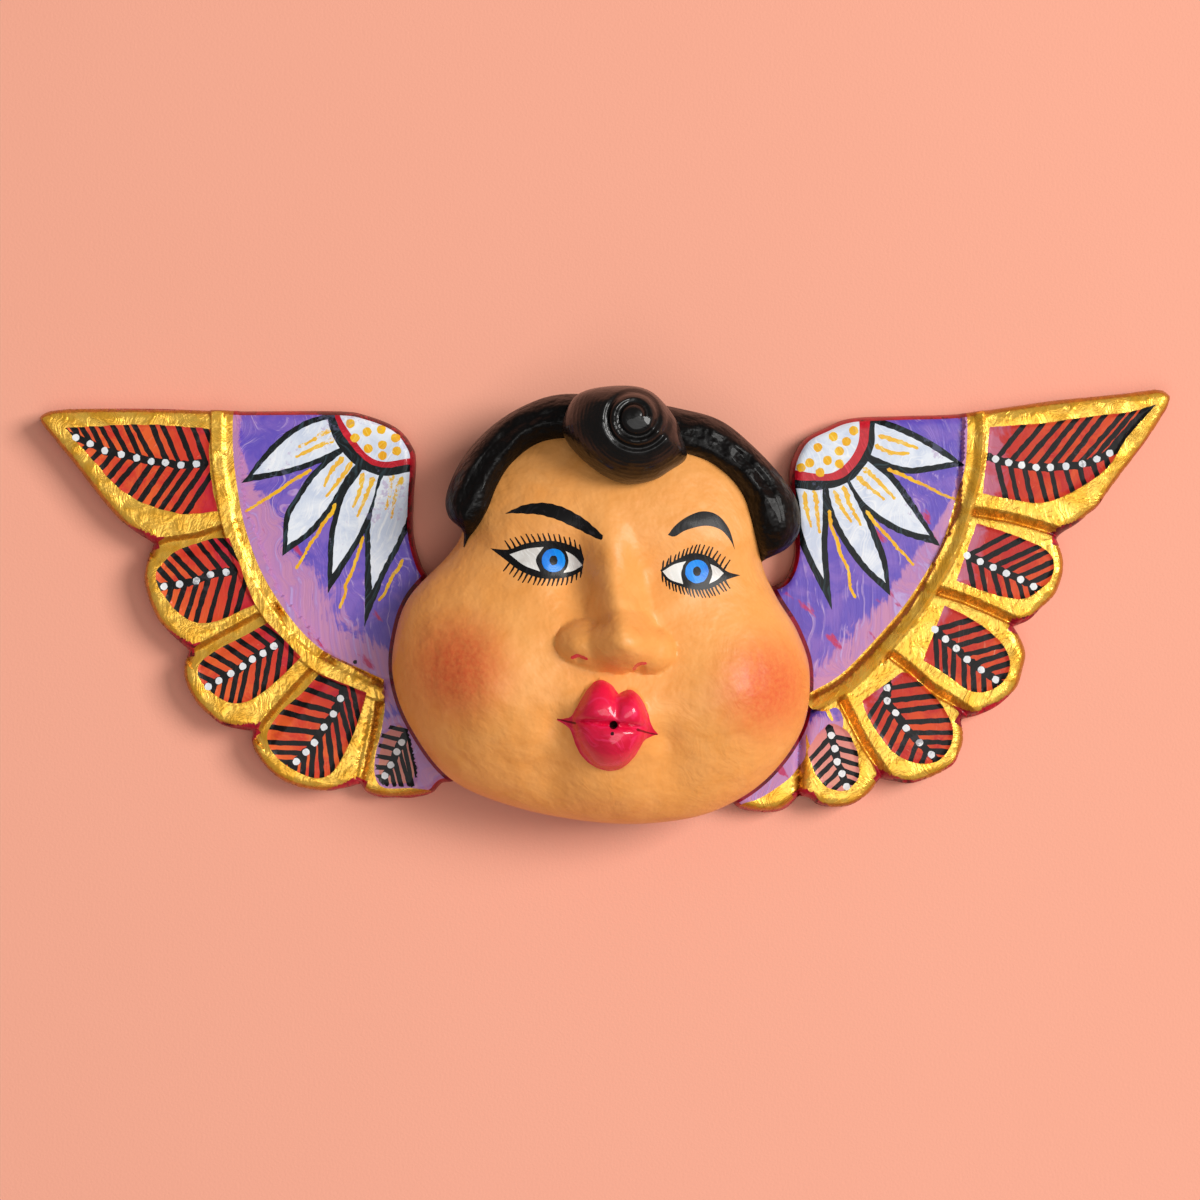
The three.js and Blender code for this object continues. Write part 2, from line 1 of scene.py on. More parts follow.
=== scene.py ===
# %% [markdown]
# # A carved and painted angel mask
# The mask is three pieces of soft wood: a hollowed head and a board for each wing. All are
# carved in relief, primed, painted by hand and, on the feathers, gilded over a red ground.
# The solids from the CAD stay as the frame. Here each of them gets a finer skin with the same
# form, on which every painted mark is a face set of its own, so the paint edges stay sharp.

# %% Load the frame and set the units
import math

import bpy
import numpy as np
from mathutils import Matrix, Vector
from mathutils.geometry import delaunay_2d_cdt


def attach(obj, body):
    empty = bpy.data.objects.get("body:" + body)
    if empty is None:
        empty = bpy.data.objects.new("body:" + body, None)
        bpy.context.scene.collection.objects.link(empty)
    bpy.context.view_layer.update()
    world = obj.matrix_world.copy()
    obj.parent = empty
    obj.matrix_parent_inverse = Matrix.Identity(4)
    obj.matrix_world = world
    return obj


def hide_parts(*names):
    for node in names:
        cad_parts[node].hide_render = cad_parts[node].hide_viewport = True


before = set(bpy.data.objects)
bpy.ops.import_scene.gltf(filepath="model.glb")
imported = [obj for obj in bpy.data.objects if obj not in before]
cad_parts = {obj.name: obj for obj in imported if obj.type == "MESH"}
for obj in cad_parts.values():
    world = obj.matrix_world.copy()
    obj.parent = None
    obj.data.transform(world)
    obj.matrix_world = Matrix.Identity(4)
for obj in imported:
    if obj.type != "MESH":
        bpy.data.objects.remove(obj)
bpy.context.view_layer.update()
MM = 0.001  # the carving is written in millimetres and the scene is in metres
random = np.random.default_rng(12)

# %% [markdown]
# ## Lines
# A carver draws first. A handful of points with a smooth curve through them is the easiest way
# to hold such a drawing: few numbers, and any of them can be moved. The curve used here is
# Catmull-Rom, which passes through each point, unlike a B-spline.


# %% Smooth lines and outlines
def smooth_line(points, step=1.5, closed=False):
    """A curve through the points, as short steps."""
    p = np.asarray(points, float)
    if closed:
        p = np.vstack([p[-1], p, p[0], p[1]])
    else:
        p = np.vstack([2 * p[0] - p[1], p, 2 * p[-1] - p[-2]])
    pieces = []
    for a, b, c, d in zip(p, p[1:], p[2:], p[3:]):
        count = max(2, round(np.linalg.norm(c - b) / step))
        t = np.linspace(0, 1, count, endpoint=False)[:, None]
        bend = (2 * a - 5 * b + 4 * c - d) * t**2 + (3 * b - a - 3 * c + d) * t**3
        pieces.append(0.5 * (2 * b + (c - a) * t + bend))
    line = np.vstack(pieces)
    return line if closed else np.vstack([line, p[-2]])


def outline_of(runs, step=1.5):
    """Runs that meet at corners make one closed outline."""
    return np.vstack([smooth_line(run, step)[:-1] for run in runs])


def closed(loop):
    return np.vstack([loop, loop[:1]])


def normals_of(line, is_closed=False):
    """The direction to the left of each point of a line."""
    if is_closed:
        along = np.roll(line, -1, axis=0) - np.roll(line, 1, axis=0)
    else:
        along = np.gradient(line, axis=0)
    along /= np.maximum(np.linalg.norm(along, axis=1), 1e-9)[:, None]
    return np.column_stack([-along[:, 1], along[:, 0]])


def moved_in(loop, distance):
    """A closed loop drawn inwards evenly."""
    area = np.sum(loop[:, 0] * np.roll(loop[:, 1], -1) - loop[:, 1] * np.roll(loop[:, 0], -1))
    return loop + normals_of(loop, True) * distance * (1 if area > 0 else -1)


# %% [markdown]
# ## Distances
# Almost every carved form is a height that depends on how far a point is from a line: a bevel
# falls towards an edge, a band rises from its border. So these two questions, how far and
# whether inside, are asked of all points of a sheet at once, with NumPy.


# %% How far from a line, and inside which outline
SIDE_REACH = 25


def distance_to(points, line):
    """Distance of each point to an open line, and how far along the line its nearest point is."""
    best = np.full(len(points), np.inf)
    along = np.zeros(len(points))
    steps = np.linalg.norm(np.diff(line, axis=0), axis=1)
    start = 0.0
    for a, b, step in zip(line, line[1:], steps):
        edge = b - a
        offset = points - a
        t = np.clip(offset @ edge / max(step * step, 1e-12), 0, 1)
        offset = offset - t[:, None] * edge
        gap = np.einsum("ij,ij->i", offset, offset)
        nearer = gap < best
        best[nearer] = gap[nearer]
        along[nearer] = start + t[nearer] * step
        start += step
    return np.sqrt(best), along


def inside(points, loop):
    x, y = points.T
    result = np.zeros(len(points), bool)
    for (ax, ay), (bx, by) in zip(loop, np.roll(loop, -1, axis=0)):
        crosses = (ay > y) != (by > y)
        if by != ay:
            result ^= crosses & (x < (bx - ax) * (y - ay) / (by - ay) + ax)
    return result


def depth_inside(points, loop):
    """Distance to the outline, positive inside it and negative outside."""
    gap, _ = distance_to(points, closed(loop))
    return np.where(inside(points, loop), gap, -gap)


def side_distance(points, line):
    """Distance to an open line, positive on its right and negative on its left."""
    gap, _ = distance_to(points, line)
    chord = line[-1] - line[0]
    right = np.array([chord[1], -chord[0]]) / np.linalg.norm(chord)
    strip = np.vstack([line, (line + right * SIDE_REACH)[::-1]])
    return np.where(inside(points, strip), gap, -gap)


def smooth_step(low, high, value):
    t = np.clip((value - low) / (high - low), 0, 1)
    return t * t * (3 - 2 * t)


# %% [markdown]
# ## Painted sheets
# How can a brush stroke have a crisp edge in any view and after baking? An image would do, but
# it has a size. Here the strokes are outlines that cut the mesh. Blender's constrained Delaunay
# function joins a loose grid of points, the outline and all stroke edges into one clean sheet.
# Every triangle then takes the last paint that covers it, as the last coat does on wood.


# %% Cut a sheet along every brush stroke
def loop_edges(first, count):
    return [(first + i, first + (i + 1) % count) for i in range(count)]


def paint(slot, loop, within=None):
    """One coat: a finish, the outline that it covers and an outline that masks it."""
    return {"slot": slot, "loop": np.asarray(loop, float), "within": within}


def painted_sheet(outline, coats, spacing, rim, cut=None, creases=()):
    """Points, triangles and each triangle's finish, inside the outline and outside the cut."""
    loops = [outline] + [coat["loop"] for coat in coats]
    if cut is not None:
        loops.append(cut)
    points = []
    edges = []
    for loop in loops:
        edges += loop_edges(len(points), len(loop))
        points += list(loop)
    for line in creases:
        edges += loop_edges(len(points), len(line))[:-1]
        points += list(line)
    low, high = outline.min(axis=0), outline.max(axis=0)
    rows = np.arange(low[1], high[1], spacing * 0.866)
    grid = [(x, y) for i, y in enumerate(rows)
            for x in np.arange(low[0] + (i % 2) * spacing / 2, high[0], spacing)]
    grid = np.array(grid)
    grid = grid[depth_inside(grid, outline) > max(rim) + spacing / 2]
    points += list(grid)
    for inset in rim:
        ring = moved_in(outline, inset)
        points += list(ring[depth_inside(ring, outline) > 0.85 * inset])
    verts, _, faces, *_ = delaunay_2d_cdt([Vector(p) for p in points], edges, [], 0, 1e-4, False)
    xy = np.array([v[:] for v in verts])
    triangles = np.array([f[:] for f in faces])
    middles = xy[triangles].mean(axis=1)
    keep = inside(middles, outline)
    if cut is not None:
        keep &= ~inside(middles, cut)
    triangles, middles = triangles[keep], middles[keep]
    finish = np.array([coats[0]["slot"]] * len(triangles), dtype=object)
    for coat in coats:
        low, high = coat["loop"].min(axis=0), coat["loop"].max(axis=0)
        near = np.flatnonzero(((middles >= low) & (middles <= high)).all(axis=1))
        covered = inside(middles[near], coat["loop"])
        if coat["within"] is not None:
            covered &= inside(middles[near], coat["within"])
        finish[near[covered]] = coat["slot"]
    used, triangles = np.unique(triangles, return_inverse=True)
    return xy[used], triangles.reshape(-1, 3), finish


def rim_of(triangles):
    """The loop of points round a sheet, from the edges that only one triangle has."""
    edges = np.vstack([triangles[:, [0, 1]], triangles[:, [1, 2]], triangles[:, [2, 0]]])
    directed = set(map(tuple, edges.tolist()))
    after = {a: b for a, b in directed if (b, a) not in directed}
    loops = []
    while after:
        start, here = after.popitem()
        loop = [start]
        while here != start:
            loop.append(here)
            here = after.pop(here)
        loops.append(loop)
    return max(loops, key=len)


# %% [markdown]
# ## Brush strokes
# A stroke is a line with a width that swells and thins, and a round start and end. A steady hand
# still wavers by a few tenths of a millimetre, and the seeded random waver is what keeps rows of
# strokes from looking printed.


# %% Strokes, dots and wavering edges
def waver(loop, amount, wave=9.0):
    """Moves a closed loop in and out a little, in waves about as long as a fingertip."""
    steps = np.linalg.norm(np.roll(loop, -1, axis=0) - loop, axis=1)
    turn = 2 * math.pi * np.cumsum(steps) / steps.sum()
    shift = np.zeros(len(loop))
    waves = max(2, round(steps.sum() / wave))
    for k in (waves // 2 + 1, waves, 2 * waves + 1):
        shift += random.normal() * np.sin(k * turn + random.uniform(0, 6.28)) / 1.7
    return loop + normals_of(loop, True) * (amount * shift)[:, None]


def stroke(points, width, end_width=None, step=1.2, shake=0.12):
    """The outline of a brush stroke along a line."""
    line = smooth_line(points, step)
    share = np.linspace(0, 1, len(line))
    half = (width + ((width if end_width is None else end_width) - width) * share) / 2
    side = normals_of(line)
    left = line + side * (half + random.normal(0, shake, len(line)) * half)[:, None]
    right = line - side * (half + random.normal(0, shake, len(line)) * half)[:, None]
    first = line[0] - (line[1] - line[0]) / np.linalg.norm(line[1] - line[0]) * half[0]
    last = line[-1] + (line[-1] - line[-2]) / np.linalg.norm(line[-1] - line[-2]) * half[-1]
    return np.vstack([first, right, last, left[::-1]])


def dot(centre, radius, corners=14, shake=0.05):
    turn = np.linspace(0, 2 * math.pi, corners, endpoint=False)
    reach = radius * (1 + random.normal(0, shake, corners))
    return np.column_stack([centre[0] + reach * np.cos(turn), centre[1] + reach * np.sin(turn)])


# %% [markdown]
# ## The head's relief
# The face is one dome with soft swellings on it. Adding bell curves for cheeks, chin and brow is
# like laying clay pads on a ball. The nose needs care: ridge, ball and wings are blended with a
# power mean, which flows like carved wood where a plain sum would pile up.

# %% The driving sizes of the head
EQUATOR_Z = 32
DOME_RISE = 33
DOME_POWER = 2.4  # 2 is a round dome, more is flatter on top
DOME_CENTRE = np.array([2.0, -20.0])
UNDERCUT = 3
WALL_TOP = 16
JOINT_GAP = 0.35
face_points = [
    (65, 19), (71, 4), (80, -11), (85, -28), (82, -51), (67, -72), (46, -85), (23, -90),
    (-3, -90), (-36, -84), (-64, -72), (-81, -50), (-88, -30), (-87, -12), (-81, 4), (-65, 21),
    (-59, 31), (-55, 48), (-41, 67), (-20, 78), (5, 80), (35, 75), (55, 61), (66, 40),
]
face_line = smooth_line(face_points[::-1], 1.4, closed=True)
swellings = [  # centre, spread and rise
    (-50, -34, 26, 26, 9), (56, -38, 25, 26, 9), (3, -78, 19, 9, 4), (3, -50, 20, 17, 9),
    (-25, 19, 17, 10, -2.5), (37, 15, 16, 10, -2.5), (-13, 12, 9, 14, -7.2), (18, 11, 8, 11, -3.4),
    (-26, 37, 20, 10, 1.2), (36, 33, 18, 10, 1.2), (4, 42, 26, 18, 2.5),
    (-20, -48, 6, 7, -3), (24, -54, 6, 7, -3.5), (-22, -70, 9, 13, -2.5), (28, -72, 9, 12, -2.5),
]
nose_domes = [(7.5, -14, 15, 13, 15.5), (-7.5, -14.8, 13, 9.6, 9.4), (17.5, -18, 11.4, 10, 9.2),
              (2, -16.5, 20, 10.5, 6), (5.5, -21, 12, 6.4, 6.5)]
nostrils = [(-10.5, -21.5, 3.2, 2.2, 2.5), (14.5, -25.5, 2.6, 3, 2.5)]
NOSE_TOP, NOSE_TIP = np.array([1.0, 30.0]), np.array([7.0, -12.0])
BRIDGE_RISE, TIP_RISE = 5, 14
BRIDGE_WIDTH, TIP_WIDTH = 12.5, 16
NOSE_FALL = 13
NOSE_FLOW = 2.1
MOUTH = (3.4, -48)
lip_line = smooth_line([
    (-13, -46), (-11, -40), (-7.5, -33.5), (-2.5, -30), (1.8, -31.5), (5.3, -35.6), (9.5, -33.8),
    (13.6, -35), (16.3, -40), (17.6, -48), (16, -55.5), (13, -61), (8.5, -65.5), (3, -67),
    (-3, -66), (-7.5, -61.5), (-11, -55),
], 1.2, closed=True)
LIP_RIM_WIDTH, LIP_RIM_RISE = 6, 4.2
lip_pads = [(-3.5, -40, 7.5, 7, 3.4), (11.5, -41.5, 6.5, 7, 3.1), (3.5, -58.5, 10, 7, 4.2)]


# %% The height of the face at any point
def bell(x, y, form):
    cx, cy, spread_x, spread_y, rise = form
    return rise * np.exp(-((x - cx) / spread_x) ** 2 - ((y - cy) / spread_y) ** 2)


def mound(x, y, form):
    cx, cy, reach_x, reach_y, rise = form
    return rise * (1 - smooth_step(0, 1, np.hypot((x - cx) / reach_x, (y - cy) / reach_y)))


def dome_height(x, y, form):
    """Round on top and steep at its reach, so it meets the cheek in a crease."""
    cx, cy, reach_x, reach_y, rise = form
    out = np.clip(np.hypot((x - cx) / reach_x, (y - cy) / reach_y), 0, 1)
    return rise * (1 - out**2.2) ** 0.8


def nose_height(x, y):
    along = (y - NOSE_TIP[1]) / (NOSE_TOP[1] - NOSE_TIP[1])
    up = np.clip(along, 0, 1)
    middle = NOSE_TIP[0] + (NOSE_TOP[0] - NOSE_TIP[0]) * np.clip(along, -0.5, 1)
    width = TIP_WIDTH + (BRIDGE_WIDTH - TIP_WIDTH) * up
    rise = BRIDGE_RISE + (TIP_RISE - BRIDGE_RISE) * (1 - smooth_step(0, 0.85, up))
    underside = 1 - smooth_step(0, NOSE_FALL, NOSE_TIP[1] - 2 - y)
    brow = 1 - smooth_step(0.75, 1.35, along)
    ridge = rise * underside * brow * (1 - smooth_step(0, 1, np.abs(x - middle) / width))
    total = ridge**NOSE_FLOW
    for form in nose_domes:
        total = total + dome_height(x, y, form) ** NOSE_FLOW
    return total ** (1 / NOSE_FLOW)


def lip_height(x, y):
    depth = depth_inside(np.column_stack([x, y]), lip_line)
    rim = np.clip(depth / LIP_RIM_WIDTH, 0, 1)
    off_line = (y - MOUTH[1] + 0.11 * (x - MOUTH[0])) / 1.3
    pads = -2.8 * np.exp(-off_line**2)
    notch = np.exp(-(((x - 4.8) / 1.6) ** 2)) * smooth_step(-49, -41, y)
    pads = pads - 1.6 * notch
    for form in lip_pads:
        pads = pads + bell(x, y, form)
    height = LIP_RIM_RISE * np.sqrt(1 - (1 - rim) ** 2) + pads * np.clip(depth / 3, 0, 1)
    return np.where(depth > 0, height, 0)


def reach_of_outline(direction):
    """How far the face reaches from the dome's centre in each direction."""
    reach = np.zeros(len(direction))
    start = face_line - DOME_CENTRE
    for a, b in zip(start, np.roll(start, -1, axis=0)):
        edge = b - a
        cross = direction[:, 0] * edge[1] - direction[:, 1] * edge[0]
        cross = np.where(np.abs(cross) < 1e-9, 1e-9, cross)
        along = (a[0] * edge[1] - a[1] * edge[0]) / cross
        part = (a[0] * direction[:, 1] - a[1] * direction[:, 0]) / cross
        hit = (along > 0) & (part >= -1e-6) & (part <= 1 + 1e-6)
        reach = np.where(hit, np.maximum(reach, along), reach)
    return reach


def face_height(points):
    x, y = points.T
    direction = points - DOME_CENTRE
    distance = np.maximum(np.linalg.norm(direction, axis=1), 1e-6)
    share = np.clip(distance / reach_of_outline(direction / distance[:, None]), 0, 1)
    dome = EQUATOR_Z + DOME_RISE * np.sqrt(1 - share**DOME_POWER)
    relief = nose_height(x, y) + lip_height(x, y)
    for form in swellings:
        relief = relief + bell(x, y, form)
    for form in nostrils:
        relief = relief - mound(x, y, form)
    return dome + relief * np.sqrt(1 - share**4)


# %% [markdown]
# ## The painted marks of the face
# Brows, eyes, lashes and lips are opaque paint on the skin colour. The eyes are built as the
# painter builds them: a black almond, the whites, a blue disc and a pupil on top, then the lashes
# one by one, leaning outwards.

# %% Brows, eyes and mouth
face_coats = [paint("skin", face_line)]
brows = [
    [[(-41, 37.8), (-33.5, 41), (-26.5, 42), (-19.5, 41), (-12, 37.6), (-6, 33.4), (-1, 28.6)],
     [(-1, 28.6), (-1.6, 26.6), (-6, 28.6), (-12, 31.6), (-19.5, 35), (-26.5, 37), (-33.5, 37.6),
      (-41, 37.8)]],
    [[(25.5, 28.8), (28.5, 32.6), (34, 36.6), (40, 38.6), (46, 37), (50.7, 31.5), (53.2, 22.8)],
     [(53.2, 22.8), (51, 27), (47, 31.2), (41, 32.6), (33, 30.8), (28.3, 28.2), (25.5, 28.8)]],
]
for brow in brows:
    face_coats.append(paint("black_paint", waver(outline_of(brow, 1.0), 0.12)))

eyes = {
    "left": {
        "liner": [[(-47, 23.5), (-39.5, 23), (-32, 25.5), (-22, 26.5), (-15, 25), (-10, 22.5),
                   (-8.5, 19)],
                  [(-8.5, 19), (-9, 16.5), (-9.5, 14.5), (-14, 12), (-21, 11), (-27.5, 11.5),
                   (-35, 14.5), (-41, 19), (-47, 23.5)]],
        "whites": [[[(-39, 21), (-32, 23.2), (-25, 24)], [(-25, 24), (-28.2, 19), (-26.5, 14)],
                    [(-26.5, 14), (-33, 16.5), (-39, 21)]],
                   [[(-16, 22.3), (-12.5, 20.2), (-9.2, 16.5)],
                    [(-9.2, 16.5), (-13, 14.3), (-17, 13.4)], [(-17, 13.4), (-15, 18), (-16, 22.3)]]],
        "iris": (-21, 18.5), "lean": -1, "lashes": (15, 17),
    },
    "right": {
        "liner": [[(22.5, 14.5), (24.5, 16), (29, 18.7), (36, 21.5), (43.5, 19.5), (49.5, 14.3),
                   (55.5, 12.5)],
                  [(55.5, 12.5), (49.5, 10.5), (43.5, 7.3), (37.5, 6.5), (30.5, 8), (25, 10.5),
                   (22.5, 14.5)]],
        "whites": [[[(23.4, 14), (28, 16.8), (33, 18.2)], [(33, 18.2), (31, 13.5), (31.8, 8.8)],
                    [(31.8, 8.8), (26.5, 10.7), (23.4, 14)]],
                   [[(43, 17), (46, 15.6), (48.5, 13.3)], [(48.5, 13.3), (46, 10.8), (42.5, 9)],
                    [(42.5, 9), (43.8, 13), (43, 17)]]],
        "iris": (37.5, 14), "lean": 1, "lashes": (17, 20),
    },
}
IRIS_RADIUS, IRIS_RING, PUPIL_RADIUS = 4.8, 6.1, 1.7
LASH_LENGTH = 3.6
for eye in eyes.values():
    liner = outline_of(eye["liner"], 1.0)
    for side, count, up in (("upper", eye["lashes"][0], 1), ("lower", eye["lashes"][1], -1)):
        edge = smooth_line(eye["liner"][0 if up == 1 else 1], 0.5)
        edge = edge[np.argsort(edge[:, 0])]
        inner, outer = (edge[-1], edge[0]) if eye["lean"] < 0 else (edge[0], edge[-1])
        for k in range(count):
            share = (k + 0.7) / (count + 1.2) * 0.86
            x = inner[0] + (outer[0] - inner[0]) * share
            y = np.interp(x, edge[:, 0], edge[:, 1])
            spread = eye["lean"] * (0.05 + 0.75 * share) + random.normal(0, 0.05)
            length = LASH_LENGTH * random.uniform(0.85, 1.1) * (0.75 + 0.5 * share)
            root = np.array([x - 0.4 * spread, y - 0.8 * up])
            tip = root + np.array([spread, up]) / math.hypot(spread, 1) * (length + 0.8)
            middle = (root + tip) / 2 + np.array([0.12 * eye["lean"] * -1, 0])
            face_coats.append(paint("black_paint", stroke([root, middle, tip], 1.05, 0.5, 0.8)))
    face_coats.append(paint("black_paint", liner))
    for white in eye["whites"]:
        face_coats.append(paint("eye_white", outline_of(white, 1.0)))
    face_coats.append(paint("black_paint", dot(eye["iris"], IRIS_RING, 30, 0.01), liner))
    face_coats.append(paint("blue_paint", dot(eye["iris"], IRIS_RADIUS, 26, 0.015), liner))
    pupil = dot((0, 0), PUPIL_RADIUS, 16, 0.04) * (1, 1.15) + eye["iris"]
    face_coats.append(paint("black_paint", pupil))

lip_paint = outline_of([
    [(-19.7, -46.3), (-16, -45.6), (-13.8, -44.7), (-10.6, -39.4), (-6.5, -33), (-2.6, -30),
     (2, -31.5), (5.5, -35.8)],
    [(5.5, -35.8), (8, -34.3), (11.3, -34.2), (14.7, -37.6), (17.2, -43), (19, -48.6),
     (21.6, -52.2)],
    [(21.6, -52.2), (18.4, -53.2), (15.6, -55), (11.8, -61.5), (6.4, -66.2), (0.6, -67.1),
     (-5.2, -65), (-9.6, -60.8), (-12.2, -55.9), (-14.6, -49.8), (-19.7, -46.3)],
], 1.0)
face_coats.append(paint("lip_paint", waver(lip_paint, 0.1)))
face_coats.append(paint("lip_shadow", stroke(
    [(-19.3, -46), (-16, -46.8), (-12, -47.5)], 0.5, 0.9, 1.0)))
face_coats.append(paint("lip_shadow", stroke(
    [(21.2, -52.3), (18, -51.6), (13, -50)], 0.5, 0.9, 1.0)))
# painted shade: the mouth's hole and the spot just under it are painted dark
face_coats.append(paint("mouth_dark", dot(MOUTH, 1.7, 16)))
face_coats.append(paint("mouth_dark", dot((2.9, -51.5), 0.8, 10, 0.1)))
for nostril in ([(-13.4, -21), (-10.8, -20.2), (-7.4, -21.5)],
                [(11.6, -25.6), (13.4, -23.6), (16.4, -23.2)]):
    face_coats.append(paint("lip_paint", stroke(nostril, 1.5, 1.1, 0.7)))
print("coats of paint on the face:", len(face_coats))

# %% [markdown]
# ## Wings: the drawing
# Each wing is one board. Its outline runs round the shoulder and the tip and has a corner at each
# notch between two feathers. The feathers are listed with their own outlines, because each has a
# level of its own in the relief. The points are real millimetres on the board.

